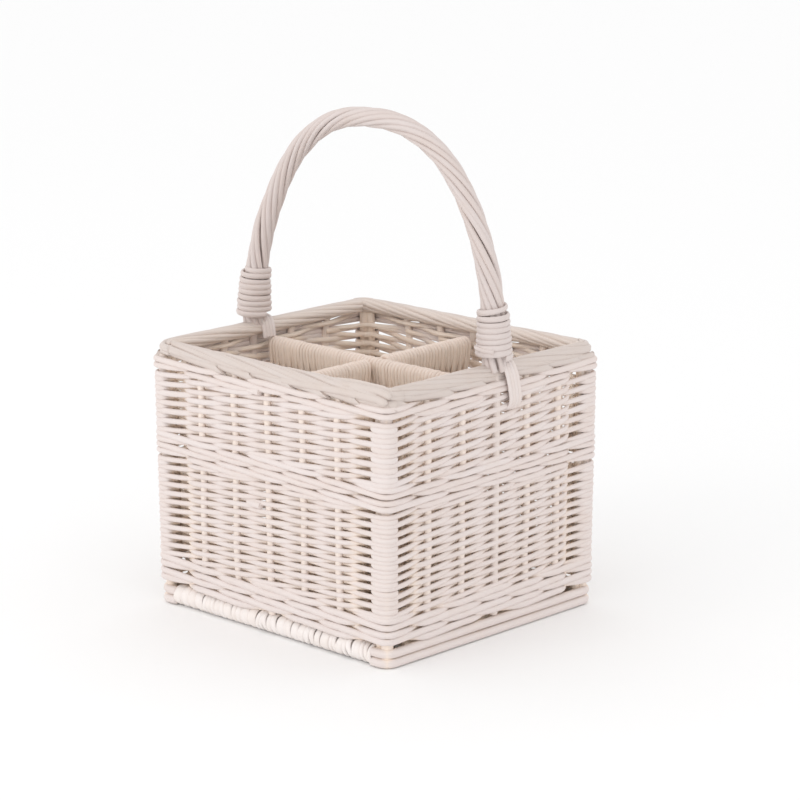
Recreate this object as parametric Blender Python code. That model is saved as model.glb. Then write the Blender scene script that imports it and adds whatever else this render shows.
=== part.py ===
"""Willow basket for four bottles, with a woven wall, a crossed divider and an arched handle.

Lengths are in metres and +Z is up. The origin is on the floor under the middle of the base. The long
side of the basket runs along X, and the handle spans from one end wall to the other, also along X.
A depth is measured into the wall from its outer face.
"""
import bpy
import bmesh
from math import ceil, cos, exp, pi, sin, sqrt, tan, tau
from mathutils import Vector

# The basket over its border
BASKET_LENGTH = 0.252
BASKET_WIDTH = 0.234
BORDER_HEIGHT = 0.200
WALL_LEAN = 0.0018
CLEARANCE = 0.0003

# Upright sticks of the wall
STAKE_RADIUS = 0.0024
STAKE_SPACING = 0.036
STAKES_A_SIDE = 5
STAKE_SIDES = 6
POST_RADIUS = 0.0060
POST_SLACK = 0.0015
POST_PIN_RADIUS = 0.0035
POST_FOOT = 0.0005
POST_SHOULDER = 0.0020

# Weavers are square in section here, and these are their widths
WALL_RECESS = 0.0008
RANDING_WIDTH = 0.0030
WALE_WIDTH = 0.0042
ROW_GAP = 0.0005
LOWER_RANDING_GAP = 0.0006
UPPER_RANDING_GAP = 0.00085
WALE_GAP = 0.0005
BOTTOM_WALE_TURNS = 4
MIDDLE_WALE_TURNS = 3
TOP_WALE_TURNS = 1
MIDDLE_WALE_HEIGHT = 0.1175

# Base
EDGE_ROLL_RADIUS = 0.0080
EDGE_STICK_RADIUS = 0.0036
BASE_STICK_RADIUS = 0.0024
BASE_STICK_SPACING = 0.053
BASE_STICKS = 3
BASE_RIB_PITCH = 0.0077
BASE_RIB_DEPTH = 0.0010
ROLL_RECESS = 0.0004
ROLL_END_GAP = 0.0014
NOTCH_GAP = 0.0034
RIM_ROD_WIDTH = 0.0072

# Border of three rods, wider than it is high
BORDER_ROD_RADIUS = 0.0026
BORDER_TWIST_RADIUS = 0.0037
BORDER_STRETCH = 1.3
BORDER_TURNS = 4
BORDER_CORNER_RADIUS = 0.0130
BORDER_STEP = 0.0138
BORDER_FOOT_STEP = 0.0060
BORDER_RODS = 3
BORDER_CORNER_STEPS = 3
BORDER_PARTING_SLACK = 0.0013
BORDER_PARTING_REACH = 0.0150

# Dividers
DIVIDER_THICKNESS = 0.0180
DIVIDER_DROP = 0.0070
DIVIDER_RIB_PITCH = 0.0075
DIVIDER_RIB_DEPTH = 0.0012
DIVIDER_STICK_RADIUS = 0.0030
DIVIDER_STICK_DROP = 0.0090
DIVIDER_SHOULDER = 0.0075

# Handle: a squared arch, whose bow carries nine thin rods. Its feet stand off the basket's middle
HANDLE_INSET = 0.0070
HANDLE_SPRING_RISE = 0.0150
HANDLE_RISE = 0.1600
HANDLE_SQUARENESS = 2.3
BOW_RADIUS = 0.0036
HANDLE_RODS = 9
HANDLE_ROD_RADIUS = 0.0019
HANDLE_ROD_TURN_LENGTH = 0.170
HANDLE_ROD_GAP = 0.0008
LEFT_FOOT_SHIFT = -0.0125
RIGHT_FOOT_SHIFT = 0.0025
FOOT_SHIFT_RISE = 0.1300
BOW_STEPS = 24
ROD_STEPS = 22

# Binding round each foot of the handle
BINDING_WIDTH = 0.0038
BINDING_TURN_GAP = 0.0006
BINDING_TURNS = 7.5
BINDING_STEPS = 12
BINDING_GAP = 0.0018

# Flat tie over the border beside each foot
TIE_WIDTH = 0.0130
TIE_THICKNESS = 0.0022
TIE_STRANDS = 4
TIE_GROOVE = 0.0006
TIE_CROWN = 0.0003
TIE_OFFSET = 0.0112
TIE_LENGTH = 0.0343
TIE_DIVIDER_GAP = 0.0015

HALF = 0.5
EIGHTH_TURN = pi / 4
CUT_OVERRUN = 0.0050
CURVE_SAMPLES = 400

# Sides of the wall in the order in which the weavers meet them, seen from above:
# outward direction, onward direction
SIDES = {
    "left": (Vector((-1, 0, 0)), Vector((0, -1, 0))),
    "front": (Vector((0, -1, 0)), Vector((1, 0, 0))),
    "right": (Vector((1, 0, 0)), Vector((0, 1, 0))),
    "back": (Vector((0, 1, 0)), Vector((-1, 0, 0))),
}
SIDE_ORDER = list(SIDES)

# Depths that follow from the sizes above
RANDING_FRONT_DEPTH = WALL_RECESS + RANDING_WIDTH * HALF
STAKE_FACE_DEPTH = WALL_RECESS + RANDING_WIDTH + CLEARANCE
STAKE_DEPTH = STAKE_FACE_DEPTH + STAKE_RADIUS
STAKE_BACK_DEPTH = STAKE_DEPTH + STAKE_RADIUS + CLEARANCE
POST_DEPTH = STAKE_FACE_DEPTH + POST_SLACK + POST_RADIUS
RIM_INNER_DEPTH = POST_DEPTH - POST_PIN_RADIUS - CLEARANCE
RIM_DEPTH = RIM_INNER_DEPTH - RIM_ROD_WIDTH * HALF
ROLL_CORNER_GAP = POST_DEPTH + POST_RADIUS + ROLL_END_GAP
NOTCH_DEPTH = POST_DEPTH + POST_RADIUS + NOTCH_GAP

# Pitches and heights that follow
LOWER_PITCH = RANDING_WIDTH + LOWER_RANDING_GAP
UPPER_PITCH = RANDING_WIDTH + UPPER_RANDING_GAP
WALE_PITCH = WALE_WIDTH + WALE_GAP
BINDING_PITCH = BINDING_WIDTH + BINDING_TURN_GAP
BASE_TOP = EDGE_ROLL_RADIUS + EDGE_ROLL_RADIUS
RIM_TOP = RIM_ROD_WIDTH + CLEARANCE + RIM_ROD_WIDTH
WALL_FOOT = max(BASE_TOP, RIM_TOP) + CLEARANCE
BORDER_HALF_WIDTH = BORDER_TWIST_RADIUS * BORDER_STRETCH + BORDER_ROD_RADIUS
BORDER_HALF_HEIGHT = BORDER_TWIST_RADIUS + BORDER_ROD_RADIUS
BORDER_TOP = BORDER_HEIGHT + BORDER_HALF_HEIGHT
WALL_TOP = BORDER_HEIGHT - BORDER_HALF_HEIGHT - CLEARANCE
DIVIDER_TOP = BORDER_HEIGHT - DIVIDER_DROP

# The border's rods part round the bow, which comes up behind the outer one
BORDER_BOW_DEPTH = BORDER_ROD_RADIUS + BORDER_ROD_RADIUS + CLEARANCE + STAKE_RADIUS + CLEARANCE
BORDER_INNER_DEPTH = BORDER_HALF_WIDTH + BORDER_TWIST_RADIUS * BORDER_STRETCH * HALF
BORDER_PARTING = (BORDER_BOW_DEPTH + STAKE_RADIUS + CLEARANCE + BORDER_ROD_RADIUS
                  + BORDER_PARTING_SLACK - BORDER_INNER_DEPTH)

# The handle stands on the border's top
HANDLE_REACH = BASKET_LENGTH * HALF - HANDLE_INSET
HANDLE_SPRING = BORDER_HEIGHT + HANDLE_SPRING_RISE
FOOT_SHIFT_TOP = HANDLE_SPRING + FOOT_SHIFT_RISE
TIE_TOP = BORDER_TOP + CLEARANCE + TIE_THICKNESS
HANDLE_ROD_FOOT = TIE_TOP + HANDLE_ROD_GAP
BINDING_FOOT = TIE_TOP + BINDING_GAP + BINDING_WIDTH * HALF


def clear_scene():
    for thing in list(bpy.data.objects):
        bpy.data.objects.remove(thing, do_unlink=True)


def new_collection(name):
    collection = bpy.data.collections.new(name)
    bpy.context.scene.collection.children.link(collection)
    return collection


def willow(name, colour, roughness):
    material = bpy.data.materials.new(name)
    material.use_nodes = True
    shader = material.node_tree.nodes["Principled BSDF"]
    shader.inputs["Base Color"].default_value = (*colour, 1.0)
    shader.inputs["Roughness"].default_value = roughness
    shader.inputs["Metallic"].default_value = 0.0
    return material


def place(name, data, material, collection):
    piece = bpy.data.objects.new(name, data)
    data.materials.append(material)
    collection.objects.link(piece)
    return piece


def half_extent(side, height):
    """Distance from the middle of the basket to the outer face of a side."""
    full = BASKET_LENGTH if side in ("left", "right") else BASKET_WIDTH
    return full * HALF - WALL_LEAN * (1 - height / BORDER_HEIGHT)


def neighbour(side, step=1):
    return SIDE_ORDER[(SIDE_ORDER.index(side) + step) % len(SIDE_ORDER)]


def wall_point(side, along, depth, height):
    outward, onward = SIDES[side]
    return outward * (half_extent(side, height) - depth) + onward * along + Vector((0, 0, height))


def post_along(side, height):
    """How far along a side its far corner post stands from the side's middle."""
    return half_extent(neighbour(side), height) - POST_DEPTH


def corner_points(side, depth, height):
    """Two points that take a rod round the outside of the post at the end of a side."""
    past_post = (POST_DEPTH - depth) * tan(EIGHTH_TURN * HALF)
    following = neighbour(side)
    return [
        wall_point(side, post_along(side, height) + past_post, depth, height),
        wall_point(following, -post_along(following, height) - past_post, depth, height),
    ]


def foot_shift(side):
    """Where the handle's foot stands along Y on an end wall."""
    return LEFT_FOOT_SHIFT if side == "left" else RIGHT_FOOT_SHIFT


def stake_places(side):
    """Places of the stakes along a side. On an end the middle place is the bow's."""
    middle = STAKES_A_SIDE // 2
    if side in ("front", "back"):
        return [(index - middle) * STAKE_SPACING for index in range(STAKES_A_SIDE)]
    bow = foot_shift(side) * SIDES[side][1].y
    post = post_along(side, BORDER_HEIGHT)
    before = [bow - (bow + post) * step / (middle + 1) for step in range(middle, 0, -1)]
    after = [bow + (post - bow) * step / (middle + 1) for step in range(1, middle + 1)]
    return before + [bow] + after


def rod(name, points, radius, material, collection, **options):
    """A rod along points: a curve with a round bevel, closed at its ends."""
    shape = bpy.data.curves.new(name, "CURVE")
    shape.dimensions = "3D"
    shape.twist_mode = options.get("twist", "MINIMUM")
    shape.bevel_depth = radius
    shape.bevel_resolution = options.get("resolution", 1)
    shape.use_fill_caps = True
    line = shape.splines.new("POLY")
    line.points.add(len(points) - 1)
    shares = options.get("radius_shares", [1] * len(points))
    for target, point, share in zip(line.points, points, shares):
        target.co = (*point, 1)
        target.radius = share
        target.tilt = options.get("tilt", 0)
    line.use_cyclic_u = options.get("closed", False)
    line.use_smooth = True
    return place(name, shape, material, collection)


def square_rod(name, points, width, material, collection, **options):
    """A weaver of square section, with flat faces outwards and upwards."""
    return rod(name, points, width * sqrt(HALF), material, collection,
               resolution=0, tilt=EIGHTH_TURN, twist="Z_UP", **options)


def stick(name, low, high, radius, sides, material, collection):
    """A straight round stick between two points, from a cone primitive of equal ends."""
    shape = bpy.data.meshes.new(name)
    draft = bmesh.new()
    length = (high - low).length
    bmesh.ops.create_cone(draft, cap_ends=True, segments=sides, radius1=radius, radius2=radius,
                          depth=length)
    draft.to_mesh(shape)
    draft.free()
    shape.shade_smooth()
    shape.set_sharp_from_angle(angle=EIGHTH_TURN + EIGHTH_TURN * HALF)
    piece = place(name, shape, material, collection)
    piece.location = (low + high) * HALF
    piece.rotation_euler = (high - low).to_track_quat("Z", "Y").to_euler()
    return piece


def loft(name, rings, material, collection):
    """A closed solid through rings of equally many points."""
    shape = bpy.data.meshes.new(name)
    draft = bmesh.new()
    loops = [[draft.verts.new(point) for point in ring] for ring in rings]
    for ring, following in zip(loops, loops[1:]):
        for index, corner in enumerate(ring):
            across = (index + 1) % len(ring)
            draft.faces.new((corner, ring[across], following[across], following[index]))
    draft.faces.new(list(reversed(loops[0])))
    draft.faces.new(loops[-1])
    bmesh.ops.recalc_face_normals(draft, faces=draft.faces)
    draft.to_mesh(shape)
    draft.free()
    return place(name, shape, material, collection)


def cut(piece, cutter):
    """Take the cutter's shape out of a piece and keep the cutter as a hidden guide."""
    cutter.hide_render = True
    cutter.display_type = "WIRE"
    modifier = piece.modifiers.new("Cut " + cutter.name, "BOOLEAN")
    modifier.operation = "DIFFERENCE"
    modifier.object = cutter


def box_cutter(name, low, high, material, collection):
    shape = bpy.data.meshes.new(name)
    draft = bmesh.new()
    bmesh.ops.create_cube(draft, size=1)
    draft.to_mesh(shape)
    draft.free()
    cutter = place(name, shape, material, collection)
    cutter.location = (low + high) * HALF
    cutter.scale = high - low
    return cutter


def ribbed_rings(start, end, pitch, section):
    """Rings for a row of ribs across X: section(place, crest) gives one ring's points."""
    ribs = max(1, round((end - start) / pitch))
    steps = 2 * ribs
    return [section(start + (end - start) * step / steps, step % 2 == 1) for step in range(steps + 1)]


def roll_section(place_x, crest):
    """One ring of the mat: an octagon's four outer corners at each edge, joined by flat faces."""
    radius = EDGE_ROLL_RADIUS if crest else EDGE_ROLL_RADIUS - BASE_RIB_DEPTH
    middle = half_extent("front", EDGE_ROLL_RADIUS) - ROLL_RECESS - EDGE_ROLL_RADIUS
    flat = radius * tan(EIGHTH_TURN * HALF)
    top = EDGE_ROLL_RADIUS + radius
    bottom = EDGE_ROLL_RADIUS - radius
    outline = [
        (middle + flat, top), (middle + radius, EDGE_ROLL_RADIUS + flat),
        (middle + radius, EDGE_ROLL_RADIUS - flat), (middle + flat, bottom),
    ]
    right_side = [Vector((place_x, across, height)) for across, height in outline]
    left_side = [Vector((place_x, -across, height)) for across, height in reversed(outline)]
    return right_side + left_side


def make_base(willow_base, parts, cutters):
    half = half_extent("right", EDGE_ROLL_RADIUS) - RIM_INNER_DEPTH - CLEARANCE
    mat = loft("base_mat", ribbed_rings(-half, half, BASE_RIB_PITCH, roll_section), willow_base, parts)
    edge = half_extent("front", EDGE_ROLL_RADIUS) - ROLL_RECESS - EDGE_ROLL_RADIUS
    roll_end = half_extent("right", EDGE_ROLL_RADIUS) - ROLL_CORNER_GAP
    notch_start = half_extent("front", EDGE_ROLL_RADIUS) - NOTCH_DEPTH
    height = Vector((0, 0, EDGE_ROLL_RADIUS))
    tall = Vector((0, 0, EDGE_ROLL_RADIUS + CUT_OVERRUN))
    reach = Vector((half + CUT_OVERRUN, 0, 0))
    for end in (-1, 1):
        for side in (-1, 1):
            near = Vector((end * roll_end, side * notch_start, 0))
            far = Vector((end * (half + CUT_OVERRUN), side * (half_extent("front", 0) + CUT_OVERRUN), 0))
            low = Vector((min(near.x, far.x), min(near.y, far.y), 0)) + height - tall
            high = Vector((max(near.x, far.x), max(near.y, far.y), 0)) + height + tall
            name = "notch_%s_%s" % ("left" if end < 0 else "right", "front" if side < 0 else "back")
            cut(mat, box_cutter(name, low, high, willow_base, cutters))
    stick_reach = Vector((roll_end, 0, 0))
    for label, side in (("front", -1), ("back", 1)):
        line = Vector((0, side * edge, 0)) + height
        stick("base_edge_stick_" + label, line - stick_reach, line + stick_reach, EDGE_STICK_RADIUS,
              STAKE_SIDES, willow_base, parts)
        cut(mat, stick("edge_bore_" + label, line - reach, line + reach, EDGE_STICK_RADIUS + CLEARANCE,
                       STAKE_SIDES, willow_base, cutters))
    for index in range(BASE_STICKS):
        line = Vector((0, (index - BASE_STICKS // 2) * BASE_STICK_SPACING, 0)) + height
        ends = Vector((half, 0, 0))
        stick("base_stick_%d" % (index + 1), line - ends, line + ends, BASE_STICK_RADIUS,
              STAKE_SIDES, willow_base, parts)
        cut(mat, stick("stick_bore_%d" % (index + 1), line - reach, line + reach,
                       BASE_STICK_RADIUS + CLEARANCE, STAKE_SIDES, willow_base, cutters))


def make_rim_rods(willow_base, parts):
    """Two rods stacked along the foot of each end, bent round the posts to the wrapped edges."""
    for side in ("left", "right"):
        before, after = neighbour(side, -1), neighbour(side)
        for label, level in (("lower", 0), ("upper", 1)):
            height = RIM_ROD_WIDTH * (level + HALF) + CLEARANCE * level
            start = half_extent(side, height) - ROLL_CORNER_GAP + CLEARANCE
            points = [wall_point(before, start, RIM_DEPTH, height)]
            points += corner_points(before, RIM_DEPTH, height) + corner_points(side, RIM_DEPTH, height)
            points += [wall_point(after, -start, RIM_DEPTH, height)]
            square_rod("base_rim_%s_%s" % (label, side), points, RIM_ROD_WIDTH, willow_base, parts)


def make_posts(willow_wall, parts):
    """Corner posts, pared to a pin where they pass inside the base's rim rods."""
    pin_share = POST_PIN_RADIUS / POST_RADIUS
    shoulder = WALL_FOOT + POST_SHOULDER
    stations = [(POST_FOOT, pin_share), (WALL_FOOT, pin_share), (shoulder, 1), (WALL_TOP, 1)]
    for side in SIDE_ORDER:
        following = neighbour(side)
        points = [wall_point(side, post_along(side, height), POST_DEPTH, height)
                  for height, share in stations]
        rod("corner_post_%s_%s" % (side, following), points, POST_RADIUS, willow_wall, parts,
            resolution=2, radius_shares=[share for height, share in stations])


def make_stakes(willow_wall, parts):
    for side in SIDE_ORDER:
        number = 0
        for index, along in enumerate(stake_places(side)):
            if side in ("left", "right") and index == STAKES_A_SIDE // 2:
                continue
            number += 1
            stick("stake_%s_%d" % (side, number), wall_point(side, along, STAKE_DEPTH, WALL_FOOT),
                  wall_point(side, along, STAKE_DEPTH, WALL_TOP), STAKE_RADIUS, STAKE_SIDES,
                  willow_wall, parts)


def band_points(start, pitch, turns, width, hides):
    """One weaver's spiral round the wall. hides(count, turn) says where it passes behind a stake."""
    front = STAKE_FACE_DEPTH - CLEARANCE - width * HALF
    behind = STAKE_BACK_DEPTH + width * HALF
    stations = len(SIDE_ORDER) * (STAKES_A_SIDE + 2)
    points = []
    for turn in range(turns):
        step = turn * stations
        count = 0
        for side in SIDE_ORDER:
            height = start + pitch * step / stations
            points.append(corner_points(neighbour(side, -1), front, height)[1])
            for along in stake_places(side):
                step += 1
                height = start + pitch * step / stations
                depth = behind if hides(count, turn) else front
                points.append(wall_point(side, along, depth, height))
                count += 1
            step += 1
            height = start + pitch * step / stations
            points.append(corner_points(side, front, height)[0])
            step += 1
    return points


def make_weave(willow_wall, parts):
    """Five bands up the wall. A wale passes before two stakes and behind one, randing before one."""
    stakes = len(SIDE_ORDER) * STAKES_A_SIDE

    def wale(count, turn):
        return (count + turn * stakes) % 3 == 0

    def randing(count, turn):
        return (count + turn) % 2 == 0

    def step_up(pitch):
        """From one band's end to the next band's start. One of the two is always a wale."""
        return (RANDING_WIDTH + WALE_WIDTH) * HALF + ROW_GAP - min(pitch, WALE_PITCH)

    def turns_below(height, start, pitch):
        return int((height - step_up(pitch) - start) / pitch)

    def weave(name, start, pitch, turns, width, hides):
        square_rod(name, band_points(start, pitch, turns, width, hides), width, willow_wall, parts)
        return start + pitch * turns

    start = WALL_FOOT + WALE_WIDTH * HALF
    end = weave("bottom_wale", start, WALE_PITCH, BOTTOM_WALE_TURNS, WALE_WIDTH, wale)
    start = end + step_up(LOWER_PITCH)
    turns = turns_below(MIDDLE_WALE_HEIGHT, start, LOWER_PITCH)
    end = weave("lower_randing", start, LOWER_PITCH, turns, RANDING_WIDTH, randing)
    start = end + step_up(LOWER_PITCH)
    end = weave("middle_wale", start, WALE_PITCH, MIDDLE_WALE_TURNS, WALE_WIDTH, wale)
    start = end + step_up(UPPER_PITCH)
    top_wale_height = WALL_TOP - WALE_WIDTH * HALF - WALE_PITCH * TOP_WALE_TURNS
    turns = turns_below(top_wale_height, start, UPPER_PITCH)
    end = weave("upper_randing", start, UPPER_PITCH, turns, RANDING_WIDTH, randing)
    weave("top_wale", end + step_up(UPPER_PITCH), WALE_PITCH, TOP_WALE_TURNS, WALE_WIDTH, wale)


def border_stations(length, from_foot, to_foot):
    """Distances along a straight run of the border, with one more beside each foot of the handle."""
    low = BORDER_FOOT_STEP if from_foot else 0
    high = length - BORDER_FOOT_STEP if to_foot else length
    steps = ceil((high - low) / BORDER_STEP)
    even = [low + (high - low) * step / steps for step in range(steps)]
    return ([0] if from_foot else []) + even + ([high] if to_foot else [])


def border_line():
    """Points along the border's middle as (position, outward, distance), from the right foot round.

    Also gives the distances at which the left foot is met and the ring closes.
    """
    reach_x = BASKET_LENGTH * HALF - BORDER_HALF_WIDTH
    reach_y = BASKET_WIDTH * HALF - BORDER_HALF_WIDTH
    straight_x = reach_x - BORDER_CORNER_RADIUS
    straight_y = reach_y - BORDER_CORNER_RADIUS
    runs = [
        ("right", (reach_x, RIGHT_FOOT_SHIFT), (reach_x, straight_y)),
        ("back", (straight_x, reach_y), (-straight_x, reach_y)),
        ("left", (-reach_x, straight_y), (-reach_x, LEFT_FOOT_SHIFT)),
        ("left", (-reach_x, LEFT_FOOT_SHIFT), (-reach_x, -straight_y)),
        ("front", (-straight_x, -reach_y), (straight_x, -reach_y)),
        ("right", (reach_x, -straight_y), (reach_x, RIGHT_FOOT_SHIFT)),
    ]
    feet = (LEFT_FOOT_SHIFT, RIGHT_FOOT_SHIFT)
    line = []
    marks = [0]
    for number, (side, start, end) in enumerate(runs):
        outward = SIDES[side][0]
        begin = Vector((*start, 0))
        run = Vector((*end, 0)) - begin
        travelled = marks[-1]
        for station in border_stations(run.length, start[1] in feet, end[1] in feet):
            line.append((begin + run * station / run.length, outward, travelled + station))
        travelled += run.length
        following = SIDES[runs[(number + 1) % len(runs)][0]][0]
        if following != outward:
            middle = begin + run - outward * BORDER_CORNER_RADIUS
            for step in range(BORDER_CORNER_STEPS):
                angle = pi * HALF * step / BORDER_CORNER_STEPS
                turned = outward * cos(angle) + following * sin(angle)
                line.append((middle + turned * BORDER_CORNER_RADIUS, turned,
                             travelled + BORDER_CORNER_RADIUS * angle))
            travelled += BORDER_CORNER_RADIUS * pi * HALF
        marks.append(travelled)
    return line, marks[len(runs) // 2], marks[-1]


def make_border(willow_border, parts):
    """Three rods twisted round the rim, which part where the handle's bow comes up between them."""
    line, left_foot, length = border_line()
    half_turns = BORDER_TURNS // 2
    for number in range(BORDER_RODS):
        points = []
        for position, outward, distance in line:
            if distance <= left_foot:
                turned = half_turns * distance / left_foot
            else:
                turned = half_turns * (1 + (distance - left_foot) / (length - left_foot))
            angle = tau * (number / BORDER_RODS - turned)
            out = BORDER_TWIST_RADIUS * BORDER_STRETCH * cos(angle)
            up = BORDER_TWIST_RADIUS * sin(angle)
            apart = min(distance, length - distance, abs(distance - left_foot))
            if out < 0:
                out -= BORDER_PARTING * exp(-(apart / BORDER_PARTING_REACH) ** 2)
            points.append(position + outward * out + Vector((0, 0, BORDER_HEIGHT + up)))
        rod("border_rod_%d" % (number + 1), points, BORDER_ROD_RADIUS, willow_border, parts, closed=True)


def divider_section(top, foot, half_thickness):
    """A function that gives one ring of an upright woven panel that runs along X."""
    def section(place_x, crest):
        inset = 0 if crest else DIVIDER_RIB_DEPTH
        wide = half_thickness - inset
        narrow = wide - DIVIDER_SHOULDER * HALF
        outline = [
            (-wide, foot), (wide, foot), (wide, top - DIVIDER_SHOULDER),
            (narrow, top - inset), (-narrow, top - inset), (-wide, top - DIVIDER_SHOULDER),
        ]
        return [Vector((place_x, across, height)) for across, height in outline]
    return section


def make_dividers(willow_inside, parts, cutters):
    foot = BASE_TOP + CLEARANCE
    wall_inside = STAKE_BACK_DEPTH + WALE_WIDTH + CLEARANCE
    end_x = half_extent("right", foot) - wall_inside
    end_y = half_extent("front", foot) - wall_inside
    near_y = DIVIDER_THICKNESS * HALF + CLEARANCE
    section = divider_section(DIVIDER_TOP, foot, DIVIDER_THICKNESS * HALF)
    stick_height = Vector((0, 0, DIVIDER_TOP - DIVIDER_STICK_DROP))
    panels = [
        ("long_divider", -end_x, end_x, 0),
        ("back_divider", near_y, end_y, pi * HALF),
        ("front_divider", near_y, end_y, -pi * HALF),
    ]
    for name, start, end, angle in panels:
        panel = loft(name, ribbed_rings(start, end, DIVIDER_RIB_PITCH, section), willow_inside, parts)
        panel.rotation_euler.z = angle
        onward = Vector((cos(angle), sin(angle), 0))
        stick(name + "_stick", onward * start + stick_height, onward * end + stick_height,
              DIVIDER_STICK_RADIUS, STAKE_SIDES, willow_inside, parts)
        over = onward * CUT_OVERRUN
        cut(panel, stick(name + "_bore", onward * start + stick_height - over,
                         onward * end + stick_height + over, DIVIDER_STICK_RADIUS + CLEARANCE,
                         STAKE_SIDES, willow_inside, cutters))


def handle_side_shift(position_x, height):
    """How far the bow stands off the basket's middle plane, growing from its top to its feet."""
    share = min(1, max(0, (FOOT_SHIFT_TOP - height) / (FOOT_SHIFT_TOP - HANDLE_SPRING)))
    eased_share = share * share * (3 - 2 * share)
    return eased_share * (LEFT_FOOT_SHIFT if position_x < 0 else RIGHT_FOOT_SHIFT)


def handle_line(foot, count):
    """Evenly spaced points along the bow, from the right foot over the top to the left foot."""
    power = 2 / HANDLE_SQUARENESS
    dense = [(HANDLE_REACH, foot)]
    for step in range(CURVE_SAMPLES + 1):
        angle = pi * step / CURVE_SAMPLES
        side = 1 if cos(angle) >= 0 else -1
        across = side * HANDLE_REACH * abs(cos(angle)) ** power
        dense.append((across, HANDLE_SPRING + HANDLE_RISE * abs(sin(angle)) ** power))
    dense.append((-HANDLE_REACH, foot))
    path = [Vector((across, handle_side_shift(across, height), height)) for across, height in dense]
    return resample(path, count)


def resample(path, count):
    """Points at equal steps along a path, and the path's length."""
    marks = [0]
    for before, after in zip(path, path[1:]):
        marks.append(marks[-1] + (after - before).length)
    length = marks[-1]
    points = []
    piece = 0
    for step in range(count):
        goal = length * step / (count - 1)
        while piece < len(marks) - 2 and marks[piece + 1] < goal:
            piece += 1
        span = marks[piece + 1] - marks[piece]
        share = (goal - marks[piece]) / span if span > 0 else 0
        points.append(path[piece].lerp(path[piece + 1], min(1, share)))
    return points, length


def make_handle(willow_handle, parts):
    make_bow(willow_handle, parts)
    points, length = handle_line(HANDLE_ROD_FOOT, ROD_STEPS)
    turns = length / HANDLE_ROD_TURN_LENGTH
    ring = BOW_RADIUS + CLEARANCE + HANDLE_ROD_RADIUS
    ring = ring / cos(tau * turns / (ROD_STEPS - 1) * HALF)
    for number in range(HANDLE_RODS):
        laid = []
        for index, point in enumerate(points):
            before = points[max(index - 1, 0)]
            after = points[min(index + 1, len(points) - 1)]
            onward = (after - before).normalized()
            if index in (0, len(points) - 1):
                onward = Vector((0, 0, 1 if index == 0 else -1))
            sideways = Vector((0, 1, 0))
            outward = sideways.cross(onward).normalized()
            sideways = onward.cross(outward)
            angle = tau * (number / HANDLE_RODS - turns * index / (ROD_STEPS - 1))
            laid.append(point + (outward * cos(angle) + sideways * sin(angle)) * ring)
        rod("handle_rod_%d" % (number + 1), laid, HANDLE_ROD_RADIUS, willow_handle, parts, resolution=0)


def make_bow(willow_handle, parts):
    """The long stick under the handle's rods, thinned where it runs down inside the end walls."""
    thin_share = STAKE_RADIUS / BOW_RADIUS
    below_border = WALL_TOP - CLEARANCE
    leg = [
        (STAKE_DEPTH, WALL_FOOT), (STAKE_DEPTH, below_border),
        (BORDER_BOW_DEPTH, BORDER_HEIGHT - BORDER_ROD_RADIUS - CLEARANCE),
        (BORDER_BOW_DEPTH, BORDER_HEIGHT + BORDER_TWIST_RADIUS),
    ]
    arch, length = handle_line(BORDER_TOP + BOW_RADIUS, BOW_STEPS)
    right_leg = [tail_point("right", depth, height) for depth, height in leg]
    left_leg = [tail_point("left", depth, height) for depth, height in reversed(leg)]
    points = right_leg + arch + left_leg
    shares = [thin_share] * len(leg) + [1] * len(arch) + [thin_share] * len(leg)
    rod("handle_bow", points, BOW_RADIUS, willow_handle, parts, radius_shares=shares)


def tail_point(side, depth, height):
    return wall_point(side, foot_shift(side) * SIDES[side][1].y, depth, height)


def make_bindings(willow_handle, parts):
    """A close winding round each foot of the handle, as one unbroken strand."""
    cage = BOW_RADIUS + CLEARANCE + HANDLE_ROD_RADIUS * 2
    ring = (cage + CLEARANCE + BINDING_WIDTH * HALF) / cos(pi / BINDING_STEPS)
    ring += CLEARANCE
    dense, length = handle_line(HANDLE_ROD_FOOT, CURVE_SAMPLES)
    for side, sign in (("right", 1), ("left", -1)):
        leg = [point for point in dense if point.x * sign > 0]
        points = []
        for step in range(round(BINDING_TURNS * BINDING_STEPS) + 1):
            height = BINDING_FOOT + BINDING_PITCH * step / BINDING_STEPS
            axis = min(leg, key=lambda point: abs(point.z - height))
            angle = tau * step / BINDING_STEPS
            points.append(Vector((axis.x + ring * cos(angle), axis.y + ring * sin(angle), height)))
        square_rod("handle_binding_" + side, points, BINDING_WIDTH, willow_handle, parts)
        least = least_gap(points, BINDING_STEPS) - BINDING_WIDTH
        print("least gap between the turns of the %s binding: %.2f mm" % (side, least * 1000))


def least_gap(points, steps):
    """Least distance between points that are at least half a turn apart along a winding."""
    return min((first - second).length for index, first in enumerate(points)
               for second in points[index + steps // 2:])


def tie_face(across):
    """Height of the tie's crowned outer face at a place across its width."""
    return TIE_THICKNESS - TIE_CROWN * (across / (TIE_WIDTH * HALF)) ** 2


def tie_profile(name, collection):
    """The tie's scalloped section as a closed flat curve, one scallop a strand."""
    shape = bpy.data.curves.new(name, "CURVE")
    shape.dimensions = "2D"
    strand = TIE_WIDTH / TIE_STRANDS
    edge = TIE_WIDTH * HALF
    outline = [(-edge, 0)]
    for index in range(TIE_STRANDS):
        groove = strand * index - edge
        crest = groove + strand * HALF
        outline.append((groove, tie_face(groove) - TIE_GROOVE))
        outline.append((crest, tie_face(crest)))
    outline += [(edge, tie_face(edge) - TIE_GROOVE), (edge, 0)]
    line = shape.splines.new("POLY")
    line.points.add(len(outline) - 1)
    for target, (across, height) in zip(line.points, outline):
        target.co = (across, height, 0, 1)
    line.use_cyclic_u = True
    guide = bpy.data.objects.new(name, shape)
    guide.hide_render = True
    guide.display_type = "WIRE"
    collection.objects.link(guide)
    return guide


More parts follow.
